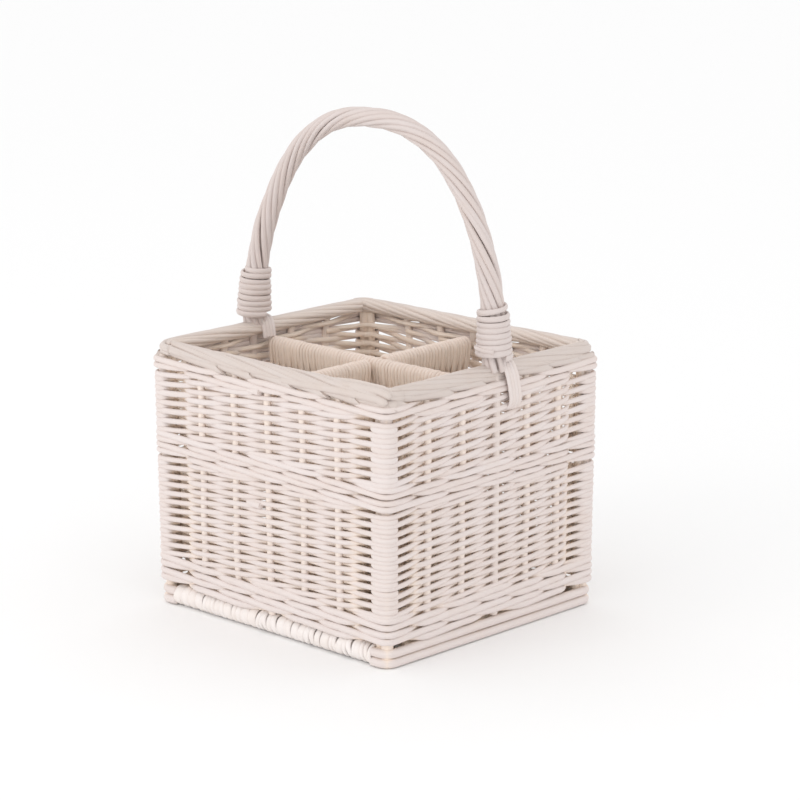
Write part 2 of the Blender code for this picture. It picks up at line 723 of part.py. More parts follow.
def make_ties(willow_handle, parts, cutters):
    """A flat tie saddled over the border beside each foot of the handle."""
    outside = min(0, STAKE_FACE_DEPTH - CLEARANCE - WALE_WIDTH) - CLEARANCE
    inside = BORDER_HALF_WIDTH * 2 + BORDER_PARTING + CLEARANCE
    top = TIE_TOP - TIE_THICKNESS
    shoulder = BORDER_ROD_RADIUS + BORDER_ROD_RADIUS
    saddle = [
        (inside, DIVIDER_TOP + TIE_DIVIDER_GAP), (inside, top - shoulder), (inside - shoulder, top),
        (outside + shoulder, top), (outside, top - shoulder), (outside, top - TIE_LENGTH),
    ]
    profile = tie_profile("tie_profile", cutters)
    for side in ("left", "right"):
        along = (foot_shift(side) + TIE_OFFSET) * SIDES[side][1].y
        shape = bpy.data.curves.new("handle_tie_" + side, "CURVE")
        shape.dimensions = "3D"
        shape.bevel_mode = "OBJECT"
        shape.bevel_object = profile
        shape.use_fill_caps = True
        line = shape.splines.new("POLY")
        line.points.add(len(saddle) - 1)
        for target, (depth, height) in zip(line.points, saddle):
            spot = wall_point(side, along, depth, height)
            target.co = (*spot, 1)
        place("handle_tie_" + side, shape, willow_handle, parts)


def main():
    clear_scene()
    parts = new_collection("wine_bottle_basket")
    cutters = new_collection("cutters")
    willow_wall = willow("willow_wall", (0.78, 0.72, 0.68), 0.62)
    willow_base = willow("willow_base", (0.74, 0.67, 0.62), 0.65)
    willow_border = willow("willow_border", (0.80, 0.75, 0.71), 0.55)
    willow_inside = willow("willow_inside", (0.66, 0.56, 0.48), 0.68)
    willow_handle = willow("willow_handle", (0.76, 0.69, 0.65), 0.55)
    make_base(willow_base, parts, cutters)
    make_rim_rods(willow_base, parts)
    make_posts(willow_wall, parts)
    make_stakes(willow_wall, parts)
    make_weave(willow_wall, parts)
    make_border(willow_border, parts)
    make_dividers(willow_inside, parts, cutters)
    make_handle(willow_handle, parts)
    make_bindings(willow_handle, parts)
    make_ties(willow_handle, parts, cutters)


main()
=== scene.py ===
"""Whitewashed willow basket with an arched handle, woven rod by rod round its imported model.

Lengths are in metres and +Z is up. The origin is on the floor under the middle of the base. A side's
along runs onward round the basket, seen from above against the clock, and a depth is measured into
the wall from its outer face.
"""
from math import pi, tau

import bpy
import numpy as np
from bpy.props import FloatProperty, FloatVectorProperty, IntProperty, PointerProperty
from mathutils import Matrix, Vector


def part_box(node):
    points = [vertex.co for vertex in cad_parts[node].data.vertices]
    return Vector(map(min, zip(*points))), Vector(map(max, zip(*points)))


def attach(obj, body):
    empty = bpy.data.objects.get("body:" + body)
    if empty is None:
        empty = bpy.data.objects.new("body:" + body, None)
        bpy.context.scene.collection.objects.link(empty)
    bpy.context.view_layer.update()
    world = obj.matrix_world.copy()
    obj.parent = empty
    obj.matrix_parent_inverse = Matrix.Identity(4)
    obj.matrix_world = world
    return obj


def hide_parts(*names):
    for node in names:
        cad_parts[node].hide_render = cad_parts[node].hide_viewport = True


bl_info = {
    "name": "Willow Basket",
    "version": (1, 0, 0),
    "blender": (4, 5, 0),
    "location": "3D View > Sidebar > Basket",
    "description": "Weaves a whitewashed willow basket with four compartments and an arched handle",
    "category": "Add Mesh",
}

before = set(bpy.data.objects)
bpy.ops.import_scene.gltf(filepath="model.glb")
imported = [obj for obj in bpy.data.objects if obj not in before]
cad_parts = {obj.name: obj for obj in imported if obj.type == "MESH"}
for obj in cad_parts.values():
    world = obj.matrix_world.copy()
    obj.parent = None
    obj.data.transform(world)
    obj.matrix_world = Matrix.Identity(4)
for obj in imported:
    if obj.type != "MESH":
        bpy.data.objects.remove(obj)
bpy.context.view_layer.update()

MM = 0.001
UP = np.array((0.0, 0.0, 1.0))
SIDE_NAMES = ("front", "right", "back", "left")
OUTWARD = np.array(((0, -1, 0), (1, 0, 0), (0, 1, 0), (-1, 0, 0)), float)
ONWARD = np.roll(OUTWARD, -1, axis=0)
ENDS = {"right": 1, "left": 3}
POSTS = ("corner_post_front_right", "corner_post_right_back", "corner_post_back_left",
         "corner_post_left_front")
BORDER_NODES = ("border_rod_1", "border_rod_2", "border_rod_3")
BOW = "handle_bow"
BOW_FOOT = 0.05


def packed_box(*nodes):
    """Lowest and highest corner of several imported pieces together."""
    boxes = [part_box(node) for node in nodes]
    return np.min([low for low, high in boxes], axis=0), np.max([high for low, high in boxes], axis=0)


def packed_middle(node):
    low, high = packed_box(node)
    return (low + high) / 2


def bow_place(sign):
    """Where the handle's bow runs down inside an end wall, along Y."""
    corners = np.array([vertex.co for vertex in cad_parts[BOW].data.vertices])
    foot = corners[(corners[:, 2] < BOW_FOOT) & (corners[:, 0] * sign > 0)]
    return float(foot[:, 1].mean())


def uprights(side):
    """A side's five uprights in order, each with its place along and its node."""
    name = SIDE_NAMES[side]
    found = [(float(packed_middle(node) @ ONWARD[side]), node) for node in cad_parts
             if node.startswith("stake_" + name)]
    if name in ENDS:
        found.append((BOW_PLACES[name] * ONWARD[side][1], BOW))
    return sorted(found)


BORDER_LOW, BORDER_HIGH = packed_box(*BORDER_NODES)
BOW_PLACES = {"right": bow_place(1), "left": bow_place(-1)}
UPRIGHTS = [uprights(side) for side in range(4)]


# Settings

def metres(name, description, default):
    return FloatProperty(name=name, description=description, default=default, min=0.0, unit="LENGTH")


def colour(name, description, default):
    return FloatVectorProperty(name=name, description=description, default=default, size=3,
                               min=0.0, max=1.0, subtype="COLOR")


class WallSettings(bpy.types.PropertyGroup):
    """Sizes of the woven wall."""
    length: metres("Length", "Length of the basket over its border", float(BORDER_HIGH[0] - BORDER_LOW[0]))
    width: metres("Width", "Width of the basket over its border", float(BORDER_HIGH[1] - BORDER_LOW[1]))
    lean: metres("Lean", "How far the wall draws in towards its foot", 0.0018)
    stake_radius: metres("Stake radius", "Radius of the upright stakes along the wall", 0.0033)
    stake_thickness: metres("Stake thickness", "Radius of the stakes across the wall", 0.0022)
    stake_depth: metres("Stake depth", "Depth of the stakes' middle behind the face", 0.0049)
    weave_reach: metres("Weave reach", "How far the weavers swing to each side of the stakes", 0.0022)
    post_radius: metres("Post radius", "Radius of the corner posts", 0.0046)
    post_depth: metres("Post depth", "Depth of the posts' middle behind each face", 0.0090)
    weaver_thickness: metres("Weaver", "Radius of the weavers across the wall", 0.00158)
    post_stretch: metres("Post stretch", "How far the wraps reach past the post", 0.0022)
    wale_radius: metres("Band rod", "Radius of the rods of the bands across the wall", 0.0021)
    sway: metres("Sway", "How far the middle of the wall rises and sinks round the basket", 0.0020)
    bottom_wale: metres("Bottom band", "Height at which the bottom band starts", 0.0160)
    lower_randing: metres("Lower weave", "Height at which the lower weave starts", 0.0362)
    middle_wale: metres("Middle band", "Height at which the middle band starts", 0.1165)
    upper_randing: metres("Upper weave", "Height at which the upper weave starts", 0.1332)
    top_wale: metres("Top band", "Height at which the top band starts", 0.1845)
    top: metres("Wall top", "Height of the wall under the border", 0.1930)
    lower_rows: IntProperty(name="Lower rows", description="Rows of the lower weave", default=12, min=1)
    upper_rows: IntProperty(name="Upper rows", description="Rows of the upper weave", default=7, min=1)


class BorderSettings(bpy.types.PropertyGroup):
    """Sizes of the rolled border."""
    height: metres("Height", "Height of the border's middle", 0.2005)
    depth: metres("Depth", "Depth of the border's middle", 0.0071)
    half_width: metres("Half width", "Half the width of the roll between rod middles", 0.0046)
    half_height: metres("Half height", "Half the height of the roll between rod middles", 0.0037)
    rod_radius: metres("Rod radius", "Radius of the border's rods", 0.0023)
    corner: metres("Corner", "Radius of the border's corners on its middle line", 0.0105)
    turns: IntProperty(name="Turns", description="Turns of the roll round the rim", default=4, min=1)
    tail: metres("Tail", "Length of each stake's end laid along under the roll", 0.0680)
    tail_reach: metres("Tail reach", "How far past a stake the laid end is cut", 0.0240)
    tail_radius: metres("Tail radius", "Radius of the laid ends", 0.0033)
    lap_radius: metres("Lap radius", "Radius of the last rods over the near corner", 0.0030)


class HandleSettings(bpy.types.PropertyGroup):
    """Sizes of the handle."""
    reach: metres("Reach", "Half the distance between the feet", 0.1190)
    spring: metres("Spring", "Height at which the arch springs", 0.2150)
    rise: metres("Rise", "Rise of the arch above its spring", 0.1600)
    squareness: FloatProperty(name="Squareness", description="2 is an ellipse, more is squarer",
                              default=2.3, min=1.5, max=6.0)
    drift_rise: metres("Drift rise", "Height over which the feet drift sideways", 0.1300)
    bow_radius: metres("Bow radius", "Radius of the stick inside", 0.0040)
    rods: IntProperty(name="Rods", description="Rods laid round the bow", default=9, min=3)
    rod_radius: metres("Rod radius", "Radius of the laid rods", 0.0023)
    cage: metres("Cage radius", "Distance of the laid rods from the bow's middle", 0.0068)
    cage_top: metres("Cage top", "Distance of the laid rods from the bow's middle at the top", 0.0055)
    lay: metres("Lay", "Length of one turn of the laid rods", 0.1500)
    binding_rise: metres("Binding rise", "Height of the binding's lowest turn", 0.2122)
    binding_pitch: metres("Binding pitch", "Height of one turn of the binding", 0.0042)
    binding_turns: FloatProperty(name="Binding turns", description="Turns of each binding",
                                 default=8.4, min=1.0)
    binding_flare: metres("Binding flare", "How much wider the binding is at its foot", 0.0022)
    binding_radius: metres("Binding radius", "Radius of the binding rod up the handle", 0.0022)
    tie_width: metres("Tie width", "Width of the tie over the border", 0.0130)
    tie_offset: metres("Tie offset", "Distance of the tie from the foot", 0.0072)
    tie_slant: metres("Tie slant", "How far the tie drifts sideways on its way down", 0.0078)


class BaseSettings(bpy.types.PropertyGroup):
    """Sizes of the base and of the dividers."""
    roll_radius: metres("Roll radius", "Radius of the wrapped edge", 0.0079)
    roll_end: metres("Roll end", "Distance of the roll's ends from the end walls", 0.0185)
    stick_radius: metres("Stick radius", "Radius of the base sticks", 0.0026)
    rim_radius: metres("Rim radius", "Radius of the rods along the foot of the ends", 0.0035)
    divider_top: metres("Divider top", "Height of the dividers", 0.1930)
    divider_half: metres("Divider half", "Distance of a strand from the divider's middle", 0.0048)
    divider_pitch: metres("Divider pitch", "Distance from one strand to the next", 0.0034)
    divider_rod: metres("Divider rod", "Radius of the dividers' strands", 0.0017)


class FinishSettings(bpy.types.PropertyGroup):
    """Colours of the willow and of the room."""
    wash: colour("Wash", "Whitewashed willow on the outside", (0.790, 0.713, 0.690))
    base_wash: colour("Base wash", "Whitewash on the base", (0.900, 0.848, 0.825))
    # The border's wash is darker than the wall's: painted shade, so its sky-facing top looks no brighter than
    # the walls.
    shaded_border_wash: colour("Border wash", "Whitewash on the border", (0.684, 0.609, 0.572))
    # The handle's wash is darker than the wall's: painted shade over the whole handle.
    shaded_handle_wash: colour("Handle wash", "Whitewash on the handle", (0.698, 0.622, 0.600))
    inner_wash: colour("Inner wash", "Thin wash on the dividers", (0.820, 0.705, 0.635))
    # The unwashed willow colour; it also paints the warm shade in the wall's gaps and hollows.
    bare: colour("Bare willow", "Willow where the wash didn't reach", (0.950, 0.815, 0.700))
    floor: colour("Floor", "Floor under the basket", (0.950, 0.950, 0.950))
    grain: FloatProperty(name="Grain", description="Depth of the grain along the rods", default=0.25,
                         min=0.0, max=1.0)
    lamp_power: FloatProperty(name="Lamp power", description="Power of the main lamp", default=8.0,
                              min=0.0, unit="POWER")


class BasketSettings(bpy.types.PropertyGroup):
    """All of the basket's sizes and colours."""
    wall: PointerProperty(type=WallSettings)
    border: PointerProperty(type=BorderSettings)
    handle: PointerProperty(type=HandleSettings)
    base: PointerProperty(type=BaseSettings)
    finish: PointerProperty(type=FinishSettings)


def settings():
    return bpy.context.scene.willow_basket


# Lines and rods

NEARLY_NOTHING = 1e-9
ROUNDED_REACH_SHARES = np.array((0.45, 0.25))
ROUNDED_RADIUS_SHARES = np.array((0.62, 0.88))
GRAIN_SHIFT = 7.0
SHARP_EDGE = pi / 3
DRIFTS = 7
# Depths over which the wall turns from wash to unwashed willow and painted shade
WALL_BARE_AND_SHADE_DEPTHS = (3.6 * MM, 8.0 * MM)


def unit(vectors):
    return vectors / np.maximum(np.linalg.norm(vectors, axis=-1, keepdims=True), NEARLY_NOTHING)


def ramp(values, low, high):
    """A smooth step from 0 at low to 1 at high."""
    share = np.clip((np.asarray(values, float) - low) / (high - low), 0.0, 1.0)
    return share * share * (3 - 2 * share)


def smooth_path(points, steps):
    """A smooth open line through points, with steps pieces between two of them."""
    points = np.asarray(points, float)
    ghost = np.vstack((2 * points[0] - points[1], points, 2 * points[-1] - points[-2]))
    line = []
    share = np.arange(steps)[:, None] / steps
    for index in range(1, len(ghost) - 2):
        before, start, end, after = ghost[index - 1:index + 3]
        line.append(0.5 * (2 * start + (end - before) * share
                           + (2 * before - 5 * start + 4 * end - after) * share ** 2
                           + (3 * start - before - 3 * end + after) * share ** 3))
    return np.vstack(line + [points[-1:]])


def distances_along(points):
    """How far each point of a line lies from its start."""
    return np.concatenate(([0], np.cumsum(np.linalg.norm(np.diff(points, axis=0), axis=1))))


def points_between(at, marks, points):
    """Points of a line at any values of a measure, given its marks at the line's own points."""
    return np.stack([np.interp(at, marks, column) for column in points.T], axis=-1)


def eased_line(knots, steps):
    """Points through knots of two values each: the first runs evenly and the second eases."""
    share = np.arange(steps) / steps
    ease = (1 - np.cos(pi * share)) / 2
    line = []
    for (start, start_side), (end, end_side) in zip(knots, knots[1:]):
        line += zip(start + (end - start) * share, start_side + (end_side - start_side) * ease)
    return line + [knots[-1]]


def corner_turn(side, count, to_end=False):
    """Directions at equal steps that turn from a side's outward one to that of the next side."""
    turn = np.linspace(0, pi / 2, count, endpoint=to_end)[:, None]
    return OUTWARD[side] * np.cos(turn) + OUTWARD[(side + 1) % 4] * np.sin(turn)


def half_extent(side, height):
    """Distance of a side's outer face from the basket's middle."""
    wall = settings().wall
    half = wall.length / 2 if side in ENDS.values() else wall.width / 2
    return half - wall.lean * (1 - height / wall.top)


def wall_point(side, along, depth, height):
    along, depth, height = np.broadcast_arrays(along, depth, height)
    out = (half_extent(side, height) - depth)[..., None] * OUTWARD[side]
    return out + along[..., None] * ONWARD[side] + height[..., None] * UP


def wall_depth(points, height):
    """How deep points lie behind the nearest outer face, as it stands at a height."""
    return np.minimum(half_extent(1, height) - np.abs(points[:, 0]),
                      half_extent(0, height) - np.abs(points[:, 1]))


def wall_bareness_and_shade(corners):
    """How far the willow turns to its unwashed colour with depth: the wash lies on the outside and hardly
    reaches inside the wall, and in the deep gaps and on the rods' inner sides the same colour is painted
    shade.
    """
    return ramp(wall_depth(corners, settings().wall.top), *WALL_BARE_AND_SHADE_DEPTHS)


def no_bareness(corners):
    return np.zeros(len(corners))


class Rods:
    """Gathers rods, each swept along a path, until they become one mesh."""

    def __init__(self, seed):
        self.random = np.random.default_rng(seed)
        self.corners, self.quads, self.caps, self.grain, self.tones = [], [], [], [], []
        self.count = 0

    def waver(self, count, size, waves=5):
        """A smooth closed wobble of a given size over count points."""
        around = np.linspace(0, tau, count, endpoint=False)
        total = np.zeros(count)
        for wave in range(1, waves + 1):
            total += self.random.normal() * np.sin(wave * around + self.random.uniform(0, tau)) / waves ** 0.5
        return size * total

    def drift(self, at):
        """A slow random drift from end to end of an open line."""
        return np.interp(at, np.linspace(0, at[-1], DRIFTS), self.random.normal(0, 1, DRIFTS))

    def add(self, path, radius, flat=1.0, reference=UP, closed=False, sides=12, slants=(0.0, 0.0),
            round_ends=True):
        """One rod. It has its full radius along reference and flat times that across it.

        slants tilt its cut ends.
        """
        path = np.asarray(path, float)
        radius = np.broadcast_to(np.asarray(radius, float), len(path))
        flat = np.broadcast_to(np.asarray(flat, float), len(path))
        reference = np.broadcast_to(np.asarray(reference, float), path.shape)
        if closed:
            onward = unit(np.roll(path, -1, axis=0) - np.roll(path, 1, axis=0))
        else:
            onward = unit(np.gradient(path, axis=0))
            if round_ends:
                path = np.vstack((path[0] - np.outer(ROUNDED_REACH_SHARES, onward[0] * radius[0]), path,
                                  path[-1] + np.outer(ROUNDED_REACH_SHARES[::-1], onward[-1] * radius[-1])))
                radius = np.concatenate((radius[0] * ROUNDED_RADIUS_SHARES, radius,
                                         radius[-1] * ROUNDED_RADIUS_SHARES[::-1]))
                onward, flat, reference = (np.concatenate((rows[:1], rows[:1], rows, rows[-1:], rows[-1:]))
                                           for rows in (onward, flat, reference))
        across = unit(np.cross(onward, reference))
        above = np.cross(across, onward)
        angles = np.arange(sides) * tau / sides
        wide = np.cos(angles)[None, :, None] * (radius * flat)[:, None, None] * across[:, None, :]
        tall = np.sin(angles)[None, :, None] * radius[:, None, None] * above[:, None, :]
        rings = path[:, None, :] + wide + tall
        if not closed:
            for end, slant in zip((0, -1), slants):
                rings[end] += onward[end] * np.sin(angles)[:, None] * radius[end] * slant
        self.add_skin(path, sides, closed)
        self.corners.append(rings.reshape(-1, 3))
        self.count += len(path) * sides

    def add_skin(self, path, sides, closed):
        """The faces of one rod, with its grain along and round it and a tone of its own."""
        ring_count = len(path)
        spans = ring_count if closed else ring_count - 1
        ring, side = np.meshgrid(np.arange(spans), np.arange(sides), indexing="ij")
        following = (ring + 1) % ring_count
        beside = (side + 1) % sides
        quads = np.stack((ring * sides + side, following * sides + side,
                          following * sides + beside, ring * sides + beside), axis=-1)
        self.quads.append(quads.reshape(-1, 4) + self.count)
        if not closed:
            self.caps.append(np.arange(sides) + self.count)
            self.caps.append(np.arange(sides)[::-1] + self.count + (ring_count - 1) * sides)
        distances = distances_along(np.vstack((path, path[:1])))
        tone = self.random.random()
        lengths = distances[np.stack((ring, ring + 1, ring + 1, ring), axis=-1)] + tone * GRAIN_SHIFT
        girths = np.stack((side, side, side + 1, side + 1), axis=-1) / sides
        self.grain.append(np.stack((lengths, girths), axis=-1).reshape(-1, 2))
        self.tones.append(np.full(ring_count * sides, tone))

    def piece(self, name, finish, nodes, bare_and_shade_share=wall_bareness_and_shade):
        """Makes the mesh and its object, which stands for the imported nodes."""
        corners = np.vstack(self.corners)
        faces = np.vstack(self.quads).tolist() + [cap.tolist() for cap in self.caps]
        shape = bpy.data.meshes.new(name)
        shape.from_pydata(corners.tolist(), [], faces)
        grain = np.zeros((len(shape.loops), 2))
        laid = np.vstack(self.grain)
        grain[:len(laid)] = laid
        shape.uv_layers.new(name="grain").data.foreach_set("uv", grain.ravel())
        shape.attributes.new("tone", "FLOAT", "POINT").data.foreach_set("value", np.hstack(self.tones))
        # Per corner, how far the colour turns to unwashed willow and painted shade.
        shape.attributes.new("bare", "FLOAT", "POINT").data.foreach_set("value", bare_and_shade_share(corners))
        shape.shade_smooth()
        shape.set_sharp_from_angle(angle=SHARP_EDGE)
        shape.materials.append(willow(finish))
        obj = bpy.data.objects.new(name, shape)
        bpy.context.scene.collection.objects.link(obj)
        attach(obj, "root")
        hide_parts(*nodes)


# Stakes and corner posts

STAKE_FOOT_GAP = 0.5 * MM
STAKE_TOP_OVERRUN = 0.9 * MM
STAKE_KNOTS = 14
STAKE_STEPS = 3
STAKE_WOBBLE = 0.35 * MM
STAKE_DEPTH_WOBBLE_SHARE = 0.4
STAKE_TUCK = 2.4 * MM
STAKE_TUCK_REACH = 12.0 * MM
STAKE_WASH_HEIGHTS = (0.0, 0.20)
POST_FOOT = 3.2 * MM
POST_TOP_OVERRUN = 0.5 * MM
POST_TOUCH = 0.4 * MM
WRAP_OVERLAP = 0.45 * MM
WRAP_LIFT = 0.12 * MM
WRAP_POINTS = 40


def make_stakes():
    """The stakes, whose tops lean in to tuck under the border."""
    wall = settings().wall
    heights = np.linspace(wall.bottom_wale + STAKE_FOOT_GAP, wall.top + STAKE_TOP_OVERRUN, STAKE_KNOTS)
    tuck = STAKE_TUCK * ramp(heights, wall.top - STAKE_TUCK_REACH, wall.top)
    radius = wall.stake_radius * np.linspace(1.03, 0.97, (STAKE_KNOTS - 1) * STAKE_STEPS + 1)
    for side in range(4):
        stakes = [(along, node) for along, node in UPRIGHTS[side] if node != BOW]
        for number, (along, node) in enumerate(stakes, 1):
            rods = Rods(100 + side * 10 + number)
            wobble = rods.random.normal(0, STAKE_WOBBLE, (2, STAKE_KNOTS))
            depth = wall.stake_depth + wobble[1] * STAKE_DEPTH_WOBBLE_SHARE + tuck
            path = wall_point(side, along + wobble[0], depth, heights)
            rods.add(smooth_path(path, STAKE_STEPS), radius, flat=wall.stake_thickness / wall.stake_radius,
                     reference=ONWARD[side])
            rods.piece(node + "_rod", "wall", [node], bare_and_shade_share=stake_bareness)


def stake_bareness(corners):
    """The stakes take a steady share of the unwashed colour, a little more towards the top."""
    return 0.42 + 0.16 * ramp(corners[:, 2], *STAKE_WASH_HEIGHTS)


def post_middle(side, height):
    wall = settings().wall
    along = half_extent((side + 1) % 4, height) - wall.post_depth
    return wall_point(side, along, wall.post_depth, height)


def make_posts():
    """Corner posts with a rod beside each, and a wrap round both in every second row of plain weave."""
    wall = settings().wall
    heights = np.linspace(POST_FOOT, wall.top + POST_TOP_OVERRUN, 16)
    beside = wall.post_radius + wall.post_stretch - POST_TOUCH
    ring = wall.post_depth - wall.weaver_thickness - POST_TOUCH
    turn = np.linspace(0, tau, WRAP_POINTS, endpoint=False)[:, None]
    for side, node in enumerate(POSTS):
        rods = Rods(200 + side)
        path = post_middle(side, heights)
        rods.add(path, wall.post_radius, reference=OUTWARD[side], sides=16)
        rods.add(path - ONWARD[side] * beside, wall.stake_radius, reference=OUTWARD[side])
        for name, low, rise, rows in weave_bands():
            for row in range(1, rows):
                height = low + rise * 2 * row
                middle = post_middle(side, height) - ONWARD[side] * wall.post_stretch
                middle[2] += sway(side * 6 + 6, height)
                swell = ring * (1 + rods.waver(WRAP_POINTS, 0.012, 3))[:, None]
                lift = rods.waver(WRAP_POINTS, WRAP_LIFT, 2)[:, None]
                path = (middle + ONWARD[side] * np.cos(turn) * (swell + wall.post_stretch)
                        + ONWARD[(side + 1) % 4] * np.sin(turn) * swell + lift * UP)
                radius = (rise * 0.5 + WRAP_OVERLAP) * (1 + rods.waver(WRAP_POINTS, 0.02, 3))
                rods.add(path, radius, flat=wall.weaver_thickness / radius, closed=True)
        rods.piece(node + "_wrapped", "wall", [node])


# Woven bands

PLACES = 24
WEAVE_STEPS = 8
CORNER_STEPS = 7
EASE_POWER = 1.4
HIDDEN_CORNER_DEPTH = 12.5 * MM
HIDDEN_CORNER_MIDDLE = 21.5 * MM
STROKE_SWING_SHARE = 0.08
WEAVER_WAVER = 0.26 * MM
WEAVER_OVERLAP = 0.23 * MM
WEAVER_FRONT_OVERLAP = 0.12 * MM
PEG_PLACES = {"lower_randing": (-0.0060, 0.0986), "upper_randing": (-0.0050, 0.1850)}
PEG_BACKS = np.array((17.0, 9.0, 0.0)) * MM
PEG_DROPS = np.array((0.6, 0.3, 0.0)) * MM
PEG_DEPTHS = np.array((2.6, 1.7)) * MM
PEG_RADII = np.array((2.0, 2.4, 2.6)) * MM
WALE_RECESS = 0.4 * MM
WALE_MARGIN = 1.0 * MM
WALE_WAVER = 0.12 * MM


def sway(places, heights):
    """The slow rise and sinking of the wall's rods round the basket, most at half height."""
    wall = settings().wall
    share = np.clip(np.asarray(heights, float) / wall.top, 0.0, 1.0)
    return wall.sway * np.sin(pi * share) ** 2 * np.cos(tau * np.asarray(places, float) / PLACES)


def woven_path(start, span, height_at, is_behind, front, behind, closed=False):
    """A rod's way through the wall over a number of places, and its place at each point.

    A side has six places: the corner before it, which is its place 0, and its five uprights.
    """
    share = np.arange(WEAVE_STEPS) / WEAVE_STEPS
    points, places = [], []

    def knot(side, place, sign):
        """Place along and depth at an upright or, with sign -1 before the side, at a corner."""
        if place % 6:
            return UPRIGHTS[side][place % 6 - 1][0], behind if is_behind(place) else front
        depth, middle = corner_course(is_behind(place), front)
        return sign * (half_extent((side + sign) % 4, height_at(place)) - middle), depth

    for place in range(start, start + span):
        side = place // 6 % 4
        along, depth = knot(side, place, -1)
        next_along, next_depth = knot(side, place + 1, 1)
        late = share ** EASE_POWER if next_depth > depth else 1 - (1 - share) ** EASE_POWER
        ease = (1 - np.cos(pi * late)) / 2
        points.append(wall_point(side, along + (next_along - along) * share,
                                 depth + (next_depth - depth) * ease, height_at(place + share)))
        places.append(place + share)
        last = place + 1 == start + span
        if (place + 1) % 6 == 0 and (closed or not last):
            depth, middle = corner_course(is_behind(place + 1), front)
            spot = wall_point(side, next_along, middle, height_at(place + 1))
            points.append(spot + corner_turn(side, CORNER_STEPS) * (middle - depth))
            places.append(np.full(CORNER_STEPS, place + 1.0))
    if not closed:
        points.append(wall_point(side, next_along, next_depth, height_at(place + 1)))
        places.append(place + 1.0)
    return np.vstack(points), np.hstack(places)


def corner_course(behind, front):
    """Depth of a rod at a corner and depth of the middle it turns round."""
    if behind:
        return HIDDEN_CORNER_DEPTH, HIDDEN_CORNER_MIDDLE
    return front, settings().wall.post_depth


def weave_bands():
    """The two stretches of plain weave: name, start, rise from upright to upright, and rows."""
    wall = settings().wall
    bands = (("lower_randing", wall.lower_randing, wall.middle_wale, wall.lower_rows),
             ("upper_randing", wall.upper_randing, wall.top_wale, wall.upper_rows))
    return [(name, low, (high - low) / (2 * rows), rows) for name, low, high, rows in bands]


def make_randing():
    """Plain weave, a weaver from every place: each rises by one rod from each upright to the next."""
    wall = settings().wall
    front = wall.stake_depth - wall.weave_reach
    behind = wall.stake_depth + wall.weave_reach
    for seed, (name, low, rise, rows) in zip((300, 320), weave_bands()):
        rods = Rods(seed)

        def height_at(place):
            climb = place - start + STROKE_SWING_SHARE * np.sin(pi * (place - start))
            return low + rise * climb

        for start in range(PLACES):
            path, places = woven_path(start, 2 * rows, height_at, lambda place: (place - start) % 2 == 0,
                                      front, behind)
            path[:, 2] += sway(places, path[:, 2]) + rods.waver(len(path), WEAVER_WAVER)
            before = 1 - ramp(wall_depth(path, low), front, wall.stake_depth - 0.5 * MM)
            radius = rise * 0.5 + WEAVER_OVERLAP + WEAVER_FRONT_OVERLAP * before
            radius = radius * (1 + 0.05 * rods.random.normal() + rods.waver(len(path), 0.035))
            rods.add(path, radius, flat=wall.weaver_thickness / radius)
        along, height = PEG_PLACES[name]  # one thick rod's end shows at the front of each stretch
        peg = wall_point(0, along - PEG_BACKS, (wall.stake_depth, *PEG_DEPTHS), height - PEG_DROPS)
        rods.add(peg, PEG_RADII, sides=16, round_ends=False)
        rods.piece(name + "_rods", "wall", [name])


def hidden_row(places):
    """Which of three rods in a row passes behind at a place, one row up from upright to upright.

    On the ends it moves one row down instead.
    """
    places = np.asarray(places) % PLACES
    return np.where(places // 6 % 2 == 0, places, -places) % 3


def stroke_offset(places, row):
    """How a band's rod leans towards the rod behind each upright, from 1 up to -1 down."""
    spots = np.arange(PLACES + 1)
    leaning = np.array((0.0, -1.0, 1.0))[(row - hidden_row(spots)) % 3]
    return np.interp(places, spots, leaning)


def make_wales():
    """Bands in which each rod passes before two uprights and behind one."""
    wall = settings().wall
    front = wall.wale_radius + WALE_RECESS
    behind = wall.stake_depth + wall.weave_reach + wall.wale_radius
    bands = (("bottom_wale", wall.bottom_wale, wall.lower_randing + WALE_MARGIN, 6, 400),
             ("middle_wale", wall.middle_wale - WALE_MARGIN, wall.upper_randing + WALE_MARGIN, 6, 410),
             ("top_wale", wall.top_wale - WALE_MARGIN, wall.top, 3, 420))
    for name, low, high, rows, seed in bands:
        rods = Rods(seed)
        pitch = (high - low) / rows
        for row in range(rows):
            height = low + pitch * (row + 0.5)
            path, places = woven_path(0, PLACES, lambda place: height,
                                      lambda place: hidden_row(place) == row % 3, front, behind, closed=True)
            path[:, 2] += pitch * 0.25 * stroke_offset(places, row)
            path[:, 2] += sway(places, path[:, 2]) + rods.waver(len(path), WALE_WAVER)
            before = 1 - ramp(wall_depth(path, height), front, wall.stake_depth + 1.0 * MM)
            radius = pitch * (0.60 + 0.15 * before) * (1 + rods.waver(len(path), 0.04))
            rods.add(path, radius, flat=np.minimum(wall.wale_radius / radius, 1.0), closed=True)
        rods.piece(name + "_rods", "wall", [name])


# Border

BORDER_POINTS = 420
STRAND_TURN_SHARE = 0.098
HEADING_REACH = 2.0 * MM
TAIL_POINTS = 26
TAIL_SCATTER = 1.2 * MM
TAIL_CORNER = 8.0 * MM
TAIL_RECESS = 0.2 * MM
TAIL_START_DROP = 1.6 * MM
TAIL_DROP = 4.2 * MM
TAIL_START_SINK = 2.2 * MM
TAIL_SINK = 0.9 * MM
TAIL_STAND_OUT = 0.55 * MM
CORNER_TAIL = 26.0 * MM
NEAR_CORNER_TIPS = (14.0 * MM, 24.0 * MM)
LAPS = ((3.2, -1.0, 3.4), (6.2, 3.4, 2.6), (11.4, 4.0, 5.8))
LAP_LENGTH = 105.0 * MM
LAP_START_DROP = 3.0 * MM
LAP_START_SINK = 1.6 * MM
LAP_TIP_DROP = 1.4 * MM
# Depths and heights of the border's unwashed colour and painted shade
RIM_BARE_AND_SHADE_DEPTHS = (8.0 * MM, 14.0 * MM)
RIM_BARE_AND_SHADE_HEIGHTS = (0.1900, 0.2010)


